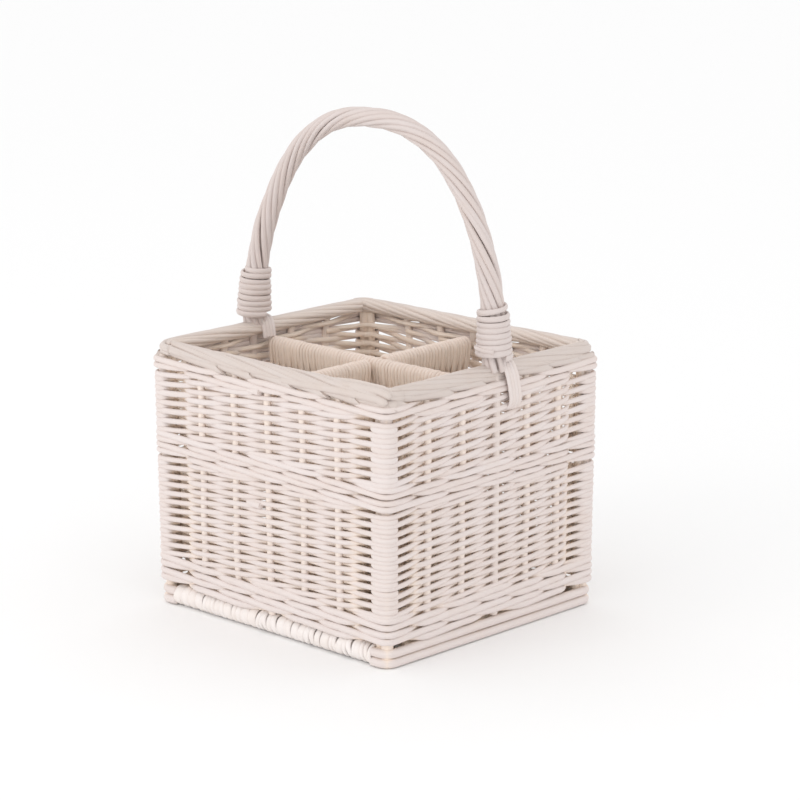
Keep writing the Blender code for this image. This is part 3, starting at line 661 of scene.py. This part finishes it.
def rim_line(depth, corner):
    """A closed level line at a depth with rounded corners: its points, and each side's middle on it."""
    height = settings().border.height
    points, middles, travelled = [], [], 0.0
    for side in range(4):
        far = half_extent((side + 1) % 4, height) - depth - corner
        near = -(half_extent((side + 3) % 4, height) - depth - corner)
        share = np.arange(40) / 40
        points.append(wall_point(side, near + (far - near) * share, depth, 0.0))
        points.append(wall_point(side, far, depth + corner, 0.0) + corner_turn(side, 12) * corner)
        middles.append(travelled - near)
        travelled += far - near + corner * pi / 2
    points = np.vstack(points)
    points = np.vstack((points, points[:1]))
    return points, distances_along(points), middles


def on_line(line, distances, at):
    """Points at distances along a closed line, and the outward direction there."""
    spots, ahead, behind = (points_between(np.mod(at + shift, distances[-1]), distances, line)
                            for shift in (0.0, HEADING_REACH, -HEADING_REACH))
    onward = unit(ahead - behind)
    return spots, np.cross(onward, UP)


def make_border():
    """A roll of three bundles of rods, over the stakes' ends laid along under it."""
    border = settings().border
    line, distances, middles = rim_line(border.depth, border.corner)
    total = distances[-1]
    at = np.linspace(0, total, BORDER_POINTS, endpoint=False)
    spots, outward = on_line(line, distances, at)
    for bundle, node in enumerate(BORDER_NODES):
        rods = Rods(500 + bundle)
        for strand in (-1, 0, 1):
            angle = tau * (bundle / 3 + strand * STRAND_TURN_SHARE - border.turns * at / total)
            angle += rods.waver(BORDER_POINTS, 0.08)
            out = border.half_width * np.cos(angle)
            lift = border.half_height * np.sin(angle)
            path = spots + outward * out[:, None] + (border.height + lift)[:, None] * UP
            radius = border.rod_radius * (0.92 + rods.waver(BORDER_POINTS, 0.04))
            rods.add(path, radius if strand else radius * 1.05, closed=True)
        if bundle == 0:
            lay_tails(rods)
            lap_corner(rods)
        rods.piece("border_bundle_%d" % (bundle + 1), "border", [node], bare_and_shade_share=rim_bareness_and_shade)


def rim_bareness_and_shade(corners):
    """The border is washed all over; towards its inner side, and most there under it, the colour turns to
    unwashed willow and painted shade.
    """
    low = 1 - ramp(corners[:, 2], *RIM_BARE_AND_SHADE_HEIGHTS)
    return ramp(wall_depth(corners, settings().wall.top), *RIM_BARE_AND_SHADE_DEPTHS) * (0.25 + 0.6 * low)


def lay_tails(rods):
    """The ends of the stakes, laid onward along the rim and cut off on a slant."""
    border = settings().border
    line, distances, middles = rim_line(border.tail_radius * 0.8 + TAIL_RECESS, TAIL_CORNER)
    share = np.linspace(0, 1, TAIL_POINTS)
    lift = border.height - TAIL_START_DROP - TAIL_DROP * ramp(share, 0.0, 1.0)
    sink = (1 - ramp(share, 0.0, 0.25)) * TAIL_START_SINK + (1 - share) * TAIL_SINK
    sink -= TAIL_STAND_OUT * ramp(share, 0.7, 1.0)
    for side in range(4):
        corner = half_extent((side + 1) % 4, border.height)
        tips = [along + border.tail_reach for along, node in UPRIGHTS[side]]
        tips.append(corner - CORNER_TAIL + border.tail_reach)
        if side == 1:
            tips += [tip - corner for tip in NEAR_CORNER_TIPS]
        for tip in tips:
            end = middles[side] + tip + rods.random.normal(0, TAIL_SCATTER)
            spots, outward = on_line(line, distances, end - border.tail * (1 - share))
            path = spots - outward * sink[:, None] + lift[:, None] * UP
            rods.add(path, border.tail_radius * (0.9 + 0.14 * share), flat=0.60, round_ends=False,
                     slants=(0.0, -1.7))


def lap_corner(rods):
    """The last rods of the roll, which end in a round tip over the front right corner."""
    border = settings().border
    share = np.sin(np.linspace(0, pi / 2, 36))
    tip = np.clip((share - 0.97) / 0.03, 0.0, 1.0)
    radius = border.lap_radius * np.sqrt(1 - 0.75 * tip ** 2)
    for depth, lift, reach in np.array(LAPS) * MM:
        along = half_extent(1, border.height) - reach - LAP_LENGTH * (1 - share)
        height = border.height - LAP_START_DROP + (lift + LAP_START_DROP) * ramp(share, 0.0, 0.7)
        height -= LAP_TIP_DROP * ramp(share, 0.90, 1.0)
        rods.add(wall_point(0, along, depth + LAP_START_SINK * (1 - share), height), radius, sides=14)


# Handle

ARCH_FOOT_DROP = 4.0 * MM
ARCH_SAMPLES = 600
LEG_HEIGHTS = (0.0165, 0.06, 0.12, 0.18, 0.19)
BOW_BARE_AND_SHADE_HEIGHTS = (0.18, 0.21)
BINDING_STEPS = 24
BINDING_FLAT = 0.62
BINDING_SCATTER = 0.34 * MM
BINDING_SWELL = 0.24 * MM
TOP_TURN_RISE = 3.2 * MM
TOP_TURN_TUCK = 2.6 * MM
LOOSE_END = np.array(((9.0, -10.0), (2.0, -13.5), (-5.0, -14.2))) * MM
LOOSE_END_HEIGHTS = (0.2176, 0.2184, 0.2196)
LOOSE_END_RADIUS = 1.8 * MM
TIE_STRANDS = 4
TIE_OVERLAP = 0.20 * MM
TIE_DEPTHS = np.array((17.0, 16.0, 12.5, 7.0, 1.5, -1.4, -2.0, -1.6, -1.0, 2.0, 6.0)) * MM
TIE_HEIGHTS = np.array((193.5, 201.0, 206.8, 208.4, 206.6, 201.0, 194.0, 186.0, 178.0, 172.5, 171.2)) * MM
TIE_SLANT_SHARES = np.array((-0.1, -0.1, 0.0, 0.05, 0.12, 0.25, 0.5, 0.8, 1.0, 1.06, 1.1))


def handle_shift(across, height):
    """How far the handle stands off the middle along Y."""
    handle = settings().handle
    top = handle.spring + handle.drift_rise
    share = ramp((top - height) / (top - handle.spring), 0.0, 1.0)
    return share * np.where(across < 0, BOW_PLACES["left"], BOW_PLACES["right"])


def handle_line(count):
    """Evenly spaced points along the handle from the right foot over the top to the left foot."""
    handle = settings().handle
    foot = BORDER_HIGH[2] - ARCH_FOOT_DROP
    power = 2 / handle.squareness
    turn = np.linspace(0, pi, ARCH_SAMPLES)
    across = np.sign(np.cos(turn)) * handle.reach * np.abs(np.cos(turn)) ** power
    height = handle.spring + handle.rise * np.abs(np.sin(turn)) ** power
    across = np.concatenate(([handle.reach], across, [-handle.reach]))
    height = np.concatenate(([foot], height, [foot]))
    path = np.stack((across, handle_shift(across, height), height), axis=-1)
    distances = distances_along(path)
    at = np.linspace(0, distances[-1], count)
    return points_between(at, distances, path), at


def make_handle():
    """The bow, and the rods laid round it in long turns."""
    handle = settings().handle
    wall = settings().wall
    arch, at = handle_line(120)
    right_leg, left_leg = (wall_point(side, BOW_PLACES[name] * ONWARD[side][1], wall.stake_depth,
                                      LEG_HEIGHTS) for name, side in ENDS.items())
    thin = np.full(len(LEG_HEIGHTS), wall.stake_radius)
    bow = Rods(600)
    bow.add(np.vstack((right_leg, arch, left_leg[::-1])),
            np.concatenate((thin, np.full(len(arch), handle.bow_radius), thin)),
            reference=(0.0, 1.0, 0.0), sides=14)
    bow.piece("handle_bow_stick", "handle", [BOW], bare_and_shade_share=bow_bareness_and_shade)
    onward = unit(np.gradient(arch, axis=0))
    outward = unit(np.cross((0.0, 1.0, 0.0), onward))
    sideways = np.cross(onward, outward)
    lift = ramp(arch[:, 2], handle.spring, handle.spring + handle.rise)
    for number in range(handle.rods):
        rods = Rods(610 + number)
        angle = tau * (number / handle.rods - at / handle.lay) + 0.10 * rods.drift(at)
        ring = handle.cage + (handle.cage_top - handle.cage) * lift
        ring *= 1 + 0.02 * rods.random.normal()
        path = arch + (outward * np.cos(angle)[:, None] + sideways * np.sin(angle)[:, None]) * ring[:, None]
        radius = handle.rod_radius * (0.98 - 0.04 * lift + 0.05 * rods.drift(at))
        rods.add(path, radius, reference=outward)
        rods.piece("handle_rod_%d_laid" % (number + 1), "handle",
                   ["handle_rod_%d" % (number + 1)], bare_and_shade_share=no_bareness)


def bow_bareness_and_shade(corners):
    """The bow is washed like its rods, and less below the border, where it runs inside the wall: there the
    unwashed colour is partly thin wash and partly painted shade.
    """
    return 0.10 + 0.15 * (1 - ramp(corners[:, 2], *BOW_BARE_AND_SHADE_HEIGHTS))


def make_bindings():
    """A winding round each foot of the handle. The right one's top turn and lower end stand loose."""
    handle = settings().handle
    arch, at = handle_line(400)
    turns = handle.binding_turns
    ring = handle.cage + handle.rod_radius + handle.binding_radius * BINDING_FLAT
    share = np.arange(int(turns * BINDING_STEPS) + 1) / BINDING_STEPS
    knots = np.arange(int(turns) + 2)
    for name, side in ENDS.items():
        sign = OUTWARD[side][0]
        rods = Rods(700 if sign > 0 else 710)
        leg = arch[arch[:, 0] * sign > 0]
        leg = leg[np.argsort(leg[:, 2])]
        heights = handle.binding_rise + handle.binding_pitch * share
        heights += np.interp(share, knots, rods.random.normal(0, BINDING_SCATTER, len(knots)))
        if sign > 0:
            heights += TOP_TURN_RISE * ramp(share, turns - 0.85, turns - 0.2)
        middle = points_between(heights, leg[:, 2], leg[:, :2])
        swell = ring + rods.waver(len(share), BINDING_SWELL, 9)
        swell += handle.binding_flare * (1 - share / turns)
        swell -= TOP_TURN_TUCK * ramp(share, turns - 0.35, turns)
        turn = tau * share * sign
        path = np.column_stack((middle[:, 0] + swell * np.cos(turn), middle[:, 1] + swell * np.sin(turn),
                                heights))
        radius = handle.binding_radius * (1 + rods.waver(len(share), 0.07, 12))
        rods.add(path, radius, flat=BINDING_FLAT)
        if sign > 0:
            rods.add(np.column_stack((middle[0] + LOOSE_END, LOOSE_END_HEIGHTS)), LOOSE_END_RADIUS,
                     round_ends=False, slants=(0.0, 0.8))
        rods.piece("handle_binding_%s_rod" % name, "handle", ["handle_binding_" + name],
                   bare_and_shade_share=no_bareness)


def make_ties():
    """Flat strands saddled over the border beside each foot, from inside the wall to its outer face."""
    handle = settings().handle
    strand = handle.tie_width / TIE_STRANDS
    for name, side in ENDS.items():
        rods = Rods(720 + side)
        sign = ONWARD[side][1]
        for number in range(TIE_STRANDS):
            offset = handle.tie_offset + strand * (number - (TIE_STRANDS - 1) / 2)
            along = (BOW_PLACES[name] + offset + handle.tie_slant * TIE_SLANT_SHARES) * sign
            saddle = wall_point(side, along, TIE_DEPTHS, TIE_HEIGHTS)
            rods.add(smooth_path(saddle, 5), strand * 0.5 + TIE_OVERLAP,
                     flat=0.48 + 0.06 * rods.random.random(), reference=ONWARD[side])
        rods.piece("handle_tie_%s_strands" % name, "wall", ["handle_tie_" + name],
                   bare_and_shade_share=no_bareness)


# Base

BASE_STICKS = ("base_stick_1", "base_stick_2", "base_stick_3")
MAT_LIFT = 0.1 * MM
MAT_RECESS = 0.3 * MM
MAT_STICK_END = 8.0 * MM
EDGE_WRAP = 3.2 * MM
STRAND_WIDTHS = np.array((3.6, 4.4, 5.2, 6.6, 8.0)) * MM
STRAND_WIDTH_SHARES = (0.22, 0.28, 0.24, 0.16, 0.10)
LEAST_STRAND = 2.0 * MM
SEAM = 0.85 * MM
SEAM_SHARE = 0.25
CLOSE_SEAM = 0.05 * MM
CORNER_STRANDS = (2.4 * MM, 6.8 * MM)
CORNER_STRAND_WIDTH = 4.4 * MM
STRAND_THICKNESS = 1.25 * MM
STRAND_LEAN = 0.8 * MM
STRAND_OVERLAP = 0.18 * MM
INNER_WIDTH = 6.0 * MM
INNER_THICKNESS = 1.7 * MM
INNER_START = 21.0 * MM
INNER_START_RISE = 3.4 * MM
MAT_SWING = 4.2 * MM
MAT_WASH_DEPTHS = (9.0 * MM, 17.0 * MM)
RIM_RECESS = 0.6 * MM
RIM_CORNER = 8.5 * MM
RIM_FOOT_GAP = 0.1 * MM
RIM_ROD_GAP = 0.3 * MM
RIM_WAVER = 0.15 * MM


def make_mat():
    """Strands woven over and under the base sticks and wrapped round the two edge sticks."""
    base = settings().base
    rods = Rods(800)
    height = base.roll_radius + MAT_LIFT
    half = half_extent(1, height) - base.roll_end
    edge = half_extent(0, height) - base.roll_radius - MAT_RECESS
    reach = half_extent(1, height) - MAT_STICK_END
    sticks = sorted(float(packed_middle(node)[1]) for node in BASE_STICKS)
    for place in sticks:
        rods.add([(across, place, height) for across in (-reach, 0, reach)], base.stick_radius, sides=10)
    for place in (-edge, edge):
        rods.add([(across, place, height) for across in (-half, 0, half)], base.roll_radius - EDGE_WRAP,
                 sides=16)
    spot = -half
    number = 0
    while spot < half - LEAST_STRAND:
        width = min(float(rods.random.choice(STRAND_WIDTHS, p=STRAND_WIDTH_SHARES)), half - spot)
        add_mat_strand(rods, spot + width / 2, width, sticks, edge, height, number)
        spot += width + (SEAM if rods.random.random() < SEAM_SHARE else CLOSE_SEAM)
        number += 1
    for number, past in enumerate(CORNER_STRANDS):
        for sign in (-1, 1):
            add_mat_strand(rods, sign * (half + past), CORNER_STRAND_WIDTH, sticks, edge, height, number,
                           wrapped=False)
    nodes = ("base_mat", "base_edge_stick_front", "base_edge_stick_back", *BASE_STICKS)
    rods.piece("base_mat_strands", "base", nodes, bare_and_shade_share=base_bareness)


def base_bareness(corners):
    """The mat is washed along its wrapped edges alone."""
    return ramp(settings().wall.width / 2 - np.abs(corners[:, 1]), *MAT_WASH_DEPTHS)


def add_mat_strand(rods, place, width, sticks, edge, height, number, wrapped=True):
    """One strand across the base, wrapped round the edge at both of its ends."""
    lean = rods.random.normal(0, STRAND_LEAN)
    swings = [MAT_SWING if (index + number) % 2 == 0 else -MAT_SWING for index in range(len(sticks))]
    knots = [(-edge + INNER_START, height + INNER_START_RISE),
             *((stick, height + swing) for stick, swing in zip(sticks, swings)),
             (edge - INNER_START, height + INNER_START_RISE)]
    middle = [(place, across, rise) for across, rise in eased_line(knots, 8)]
    inner_width = min(width, INNER_WIDTH)
    if not wrapped:
        rods.add(middle, inner_width / 2, flat=INNER_THICKNESS * 2 / inner_width, reference=(1.0, 0.0, 0.0))
        return
    turn = np.linspace(-1.15 * pi, 0.62 * pi, 20)
    ring = settings().base.roll_radius - STRAND_THICKNESS
    front = np.column_stack((place + lean * np.sin(turn), -edge - ring * np.cos(turn),
                             height + ring * np.sin(turn)))
    path = np.vstack((front, middle, (front * (1, -1, 1))[::-1]))
    inner = slice(len(front), -len(front))
    widths = np.full(len(path), width)
    widths[inner] = inner_width
    widths = np.convolve(np.pad(widths, 2, mode="edge"), np.ones(5) / 5, mode="valid")
    thickness = np.full(len(path), STRAND_THICKNESS)
    thickness[inner] = INNER_THICKNESS
    radius = widths / 2 + STRAND_OVERLAP
    rods.add(path, radius, flat=thickness / radius, reference=(1.0, 0.0, 0.0))


def make_rims():
    """Two rods along the foot of each end, bent round the posts."""
    base = settings().base
    depth = base.rim_radius + RIM_RECESS
    inset = depth + RIM_CORNER
    for name, side in ENDS.items():
        before, after = (side + 3) % 4, (side + 1) % 4
        for level, label in enumerate(("lower", "upper")):
            rods = Rods(820 + side * 2 + level)
            height = base.rim_radius * (1 + 2 * level) + RIM_FOOT_GAP + RIM_ROD_GAP * level
            far = half_extent(side, height) - inset
            near = half_extent(before, height) - inset
            start = half_extent(side, height) - base.roll_end
            spots = [wall_point(before, np.linspace(start, far, 4)[:-1], depth, height),
                     wall_point(before, far, inset, height) + corner_turn(before, 8, True) * RIM_CORNER,
                     wall_point(side, np.linspace(-near, near, 12)[1:-1], depth, height),
                     wall_point(side, near, inset, height) + corner_turn(side, 8, True) * RIM_CORNER,
                     wall_point(after, np.linspace(-far, -start, 4)[1:], depth, height)]
            path = smooth_path(np.vstack(spots), 2)
            path[:, 2] += rods.waver(len(path), RIM_WAVER)
            rods.add(path, base.rim_radius * (1 + rods.waver(len(path), 0.02)), sides=14)
            rods.piece("base_rim_%s_%s_rod" % (label, name), "wall",
                       ["base_rim_%s_%s" % (label, name)])


# Dividers

DIVIDER_STICK_HEIGHTS = (0.145, 0.105, 0.065, 0.027)
DIVIDER_STICK_RADIUS = 2.9 * MM
SHORT_DIVIDER_GAP = 0.5 * MM
LAST_STRAND_SLACK = 0.01 * MM
TURNED_END = 14.0 * MM
TURNED_END_SPREAD = 6.0 * MM
TURNED_END_SINK = 1.3 * MM
DIVIDER_LEAN = 0.9 * MM
DIVIDER_BARE_AND_SHADE_HEIGHTS = (0.182, 0.193)


def make_dividers():
    """Panels of upright strands woven round level sticks and turned over the top one."""
    base = settings().base
    pitch = base.divider_pitch
    top = base.divider_top - base.divider_half - base.divider_rod * 0.9
    sticks = (top, *DIVIDER_STICK_HEIGHTS)
    for name, axis, seed in (("long_divider", 0, 900), ("back_divider", 1, 910), ("front_divider", 1, 920)):
        rods = Rods(seed)
        onward, sideways = np.eye(3)[axis], np.eye(3)[1 - axis]
        low, high = packed_box(name)
        start, end = float(low[axis]), float(high[axis])
        for height in sticks:
            rods.add(np.outer((start, (start + end) / 2, end), onward) + UP * height, DIVIDER_STICK_RADIUS)
        spot = start + pitch / 2 + SHORT_DIVIDER_GAP * axis
        parity = 1
        while spot < end - pitch / 2 + LAST_STRAND_SLACK:
            add_divider_strand(rods, onward, sideways, spot, parity, sticks, float(low[2]))
            spot += pitch
            parity = -parity
        rods.piece(name + "_strands", "inside", [name, name + "_stick"],
                   bare_and_shade_share=divider_bareness_and_shade)


def divider_bareness_and_shade(corners):
    """The dividers are washed along their tops; lower down they turn to the unwashed colour, partly thin wash
    and partly painted shade inside the basket.
    """
    return 0.85 * (1 - ramp(corners[:, 2], *DIVIDER_BARE_AND_SHADE_HEIGHTS))


def add_divider_strand(rods, onward, sideways, spot, parity, sticks, foot):
    """One strand that weaves up round the sticks and turns down over the top one."""
    base = settings().base
    half = base.divider_half
    knots = [(foot + base.divider_rod, 0.0)]
    for index, height in enumerate(reversed(sticks)):
        knots.append((height, parity * half * (1 if index % 2 == 0 else -1)))
    profile = eased_line(knots, 7)[:-1]
    last = np.sign(knots[-1][1])
    for turn in np.linspace(0, pi, 9):
        profile.append((sticks[0] + half * np.sin(turn), last * half * np.cos(turn)))
    drop = TURNED_END + TURNED_END_SPREAD * rods.random.random()
    for share in (0.5, 1.0):
        profile.append((sticks[0] - drop * share, -last * (half - TURNED_END_SINK * share)))
    lean = rods.random.normal(0, DIVIDER_LEAN)
    heights, swings = np.array(profile).T[:, :, None]
    places = spot + lean * (heights / base.divider_top - 1)
    radius = base.divider_rod * (1 + 0.10 * rods.random.normal())
    rods.add(onward * places + sideways * swings + UP * heights, radius, reference=onward, sides=10,
             flat=0.92)


# Finishes

FINISHES = {}
# The border's and the handle's washes are darker copies of the wall's whitewash, as painted shade.
WASHES = {"wall": ("wash", 0.62), "base": ("base_wash", 0.64), "border": ("shaded_border_wash", 0.55),
          "handle": ("shaded_handle_wash", 0.52), "inside": ("inner_wash", 0.70)}
PLAIN = (1.0, 1.0, 1.0)
WORN_TINT = (0.965, 0.930, 0.900)
STREAK_TINT = (0.86, 0.79, 0.73)
PATCH_TINT = (0.93, 0.87, 0.81)
PALE_WOOD_TINT = (1.02, 1.06, 1.10)
DARK_WOOD_TINT = (0.80, 0.73, 0.66)
GRAIN_SCALE = (38.0, 9.0, 1.0)
GRAIN_DEPTH = 0.35 * MM


def tinted(colour, tint=PLAIN):
    """A colour for a node's socket."""
    return (*(channel * share for channel, share in zip(colour, tint)), 1.0)


def join(socket, value):
    """Links a socket to another one, or sets it."""
    if isinstance(value, bpy.types.NodeSocket):
        socket.id_data.links.new(value, socket)
    else:
        socket.default_value = value


def join_all(node, **inputs):
    for key, value in inputs.items():
        join(node.inputs[key.replace("_", " ")], value)


def willow(finish):
    """Whitewashed willow: wash over unwashed willow, with streaks along each rod and a tone of its own. The
    unwashed colour also carries painted shade in the gaps, hollows and undersides.
    """
    if finish in FINISHES:
        return FINISHES[finish]
    colours = settings().finish
    wash_setting, roughness = WASHES[finish]
    wash = getattr(colours, wash_setting)
    material = bpy.data.materials.new("willow_" + finish)
    material.use_nodes = True
    nodes = material.node_tree.nodes

    def add(kind, output, **inputs):
        """A new node, with its inputs joined: one of its outputs."""
        made = nodes.new(kind)
        join_all(made, **inputs)
        return made.outputs[output]

    def attribute(name):
        made = nodes.new("ShaderNodeAttribute")
        made.attribute_name = name
        return made.outputs["Fac"]

    def mix(amount, first, second):
        made = nodes.new("ShaderNodeMix")
        made.data_type = "RGBA"
        for socket, value in ((0, amount), (6, first), (7, second)):
            join(made.inputs[socket], value)
        return made.outputs[2]

    def scaled(source, low, high, to_low, to_high):
        return add("ShaderNodeMapRange", "Result", Value=source, From_Min=low, From_Max=high,
                   To_Min=to_low, To_Max=to_high)

    # Share of unwashed willow and painted shade at each corner.
    tone, bare = attribute("tone"), attribute("bare")
    grain = nodes.new("ShaderNodeUVMap")
    grain.uv_map = "grain"
    along = add("ShaderNodeMapping", "Vector", Vector=grain.outputs["UV"], Scale=GRAIN_SCALE)
    streaks = add("ShaderNodeTexNoise", "Fac", Vector=along, Scale=1.0, Detail=4.0, Roughness=0.62)
    place = nodes.new("ShaderNodeTexCoord").outputs["Object"]
    patches = add("ShaderNodeTexNoise", "Fac", Vector=place, Scale=55.0, Detail=3.0, Roughness=0.55)
    streak = scaled(streaks, 0.35, 0.70, 0.0, 1.0)
    painted = mix(scaled(tone, 0.0, 1.0, 0.0, 0.55), tinted(wash), tinted(wash, WORN_TINT))
    painted = mix(scaled(streak, 0.0, 1.0, 0.0, 0.16), painted, tinted(wash, STREAK_TINT))
    painted = mix(scaled(patches, 0.50, 0.74, 0.0, 0.30), painted, tinted(wash, PATCH_TINT))
    # The unwashed willow colour, which also stands for painted shade.
    wood_and_shade = mix(scaled(tone, 0.0, 1.0, 0.0, 0.7), tinted(colours.bare), tinted(colours.bare, PALE_WOOD_TINT))
    wood_and_shade = mix(scaled(streak, 0.0, 1.0, 0.0, 0.25), wood_and_shade, tinted(colours.bare, DARK_WOOD_TINT))
    bump = add("ShaderNodeBump", "Normal", Strength=colours.grain, Distance=GRAIN_DEPTH, Height=streaks)
    join_all(nodes["Principled BSDF"], Base_Color=mix(bare, painted, wood_and_shade), Normal=bump,
             Roughness=scaled(streak, 0.0, 1.0, roughness - 0.05, roughness + 0.10),
             Specular_IOR_Level=0.35)
    FINISHES[finish] = material
    return material


def floor_finish():
    """A plain matt floor that takes the basket's shadow."""
    material = bpy.data.materials.new("pale_floor")
    material.use_nodes = True
    join_all(material.node_tree.nodes["Principled BSDF"], Base_Color=tinted(settings().finish.floor),
             Roughness=0.9, Specular_IOR_Level=0.1)
    return material


# Stage

CAMERA_PLACE = (1.56048, -1.58777, 0.70510)
CAMERA_TURN = ((0.71949929, -0.1636482, 0.67493706), (0.69448912, 0.17286056, -0.69842973),
               (-0.00237323, 0.97125614, 0.23802494))
CAMERA_LENS = 136.1
SENSOR_WIDTH = 36.0
FLOOR_REACH = 6.0
FLOOR_DROP = 0.2 * MM
ROOM_STRENGTH = 1.03
SEEN_ROOM_STRENGTH = 1.0
LAMPS = (("left_lamp", (-0.4, -2.3, 1.0), 1.0), ("right_lamp", (2.3, -0.7, 1.1), 0.15))
LAMP_SIZE = 1.5
LAMP_AIM = 0.12


def make_camera():
    """The camera at the photograph's angle."""
    scene = bpy.context.scene
    scene.view_settings.view_transform = "Standard"
    lens = bpy.data.cameras.new("camera")
    lens.lens = CAMERA_LENS
    lens.sensor_width = SENSOR_WIDTH
    lens.sensor_fit = "HORIZONTAL"
    camera = bpy.data.objects.new("camera", lens)
    camera.matrix_world = Matrix.Translation(CAMERA_PLACE) @ Matrix(CAMERA_TURN).to_4x4()
    scene.collection.objects.link(camera)
    scene.camera = camera


def make_floor():
    """A wide floor that the basket only just doesn't touch."""
    shape = bpy.data.meshes.new("floor")
    reach = FLOOR_REACH
    shape.from_pydata([(-reach, -reach, 0), (reach, -reach, 0), (reach, reach, 0), (-reach, reach, 0)],
                      [], [(0, 1, 2, 3)])
    shape.materials.append(floor_finish())
    floor = bpy.data.objects.new("floor", shape)
    floor.location.z = -FLOOR_DROP
    bpy.context.scene.collection.objects.link(floor)


def make_room():
    """Even white light from all round, a little stronger than the room looks to the camera."""
    world = bpy.data.worlds.new("studio")
    world.use_nodes = True
    nodes = world.node_tree.nodes
    path = nodes.new("ShaderNodeLightPath")
    seen = nodes.new("ShaderNodeMath")
    seen.operation = "MAXIMUM"
    for socket, ray in enumerate(("Is Camera Ray", "Is Glossy Ray")):
        join(seen.inputs[socket], path.outputs[ray])
    level = nodes.new("ShaderNodeMapRange")
    join_all(level, To_Min=ROOM_STRENGTH, To_Max=SEEN_ROOM_STRENGTH, Value=seen.outputs["Value"])
    join_all(nodes["Background"], Color=tinted(PLAIN), Strength=level.outputs["Result"])
    bpy.context.scene.world = world


def make_lamps():
    """Two soft round lamps, aimed at the basket."""
    for name, place, power_share in LAMPS:
        shape = bpy.data.lights.new(name, "AREA")
        shape.shape = "DISK"
        shape.size = LAMP_SIZE
        shape.energy = settings().finish.lamp_power * power_share
        lamp = bpy.data.objects.new(name, shape)
        lamp.location = place
        aim = -lamp.location
        aim.z += LAMP_AIM
        lamp.rotation_euler = aim.to_track_quat("-Z", "Y").to_euler()
        bpy.context.scene.collection.objects.link(lamp)


# Operators

class BASKET_OT_stage(bpy.types.Operator):
    """Set up the floor, the lamps and the camera"""
    bl_idname = "basket.stage"
    bl_label = "Stage"

    def execute(self, context):
        make_camera()
        make_floor()
        make_room()
        make_lamps()
        return {"FINISHED"}


class BASKET_OT_base(bpy.types.Operator):
    """Weave the base, wrap its edges and lay the rods along the foot of the ends"""
    bl_idname = "basket.base"
    bl_label = "Base"

    def execute(self, context):
        make_mat()
        make_rims()
        return {"FINISHED"}


class BASKET_OT_stakes(bpy.types.Operator):
    """Stand the stakes in the wall"""
    bl_idname = "basket.stakes"
    bl_label = "Stakes"

    def execute(self, context):
        make_stakes()
        return {"FINISHED"}


class BASKET_OT_posts(bpy.types.Operator):
    """Stand the corner posts and wrap them"""
    bl_idname = "basket.posts"
    bl_label = "Corner posts"

    def execute(self, context):
        make_posts()
        return {"FINISHED"}


class BASKET_OT_randing(bpy.types.Operator):
    """Weave the two plain stretches of the wall"""
    bl_idname = "basket.randing"
    bl_label = "Plain weave"

    def execute(self, context):
        make_randing()
        return {"FINISHED"}


class BASKET_OT_wales(bpy.types.Operator):
    """Weave the three bands of the wall"""
    bl_idname = "basket.wales"
    bl_label = "Bands"

    def execute(self, context):
        make_wales()
        return {"FINISHED"}


class BASKET_OT_border(bpy.types.Operator):
    """Roll the border round the rim"""
    bl_idname = "basket.border"
    bl_label = "Border"

    def execute(self, context):
        make_border()
        return {"FINISHED"}


class BASKET_OT_dividers(bpy.types.Operator):
    """Weave the dividers inside"""
    bl_idname = "basket.dividers"
    bl_label = "Dividers"

    def execute(self, context):
        make_dividers()
        return {"FINISHED"}


class BASKET_OT_handle(bpy.types.Operator):
    """Bend the handle's bow and lay the rods round it"""
    bl_idname = "basket.handle"
    bl_label = "Handle"

    def execute(self, context):
        make_handle()
        return {"FINISHED"}


class BASKET_OT_bindings(bpy.types.Operator):
    """Wind the bindings and saddle the ties"""
    bl_idname = "basket.bindings"
    bl_label = "Bindings and ties"

    def execute(self, context):
        make_bindings()
        make_ties()
        return {"FINISHED"}


OPERATORS = (BASKET_OT_stage, BASKET_OT_base, BASKET_OT_stakes, BASKET_OT_posts, BASKET_OT_randing,
             BASKET_OT_wales, BASKET_OT_border, BASKET_OT_dividers, BASKET_OT_handle,
             BASKET_OT_bindings)


class BASKET_PT_panel(bpy.types.Panel):
    """The basket's pieces and settings"""
    bl_idname = "BASKET_PT_panel"
    bl_label = "Willow Basket"
    bl_space_type = "VIEW_3D"
    bl_region_type = "UI"
    bl_category = "Basket"

    def draw(self, context):
        layout = self.layout
        for operator in OPERATORS:
            layout.operator(operator.bl_idname)
        for label in BasketSettings.__annotations__:
            group = getattr(context.scene.willow_basket, label)
            box = layout.box()
            box.label(text=label.capitalize())
            for key in group.__annotations__:
                box.prop(group, key)


CLASSES = (WallSettings, BorderSettings, HandleSettings, BaseSettings, FinishSettings, BasketSettings,
           *OPERATORS, BASKET_PT_panel)


def register():
    for cls in CLASSES:
        bpy.utils.register_class(cls)
    bpy.types.Scene.willow_basket = PointerProperty(type=BasketSettings)


def unregister():
    del bpy.types.Scene.willow_basket
    for cls in reversed(CLASSES):
        bpy.utils.unregister_class(cls)


def main():
    register()
    bpy.ops.basket.stage()
    bpy.ops.basket.base()
    bpy.ops.basket.stakes()
    bpy.ops.basket.posts()
    bpy.ops.basket.randing()
    bpy.ops.basket.wales()
    bpy.ops.basket.border()
    bpy.ops.basket.dividers()
    bpy.ops.basket.handle()
    bpy.ops.basket.bindings()


if __name__ == "__main__":
    main()
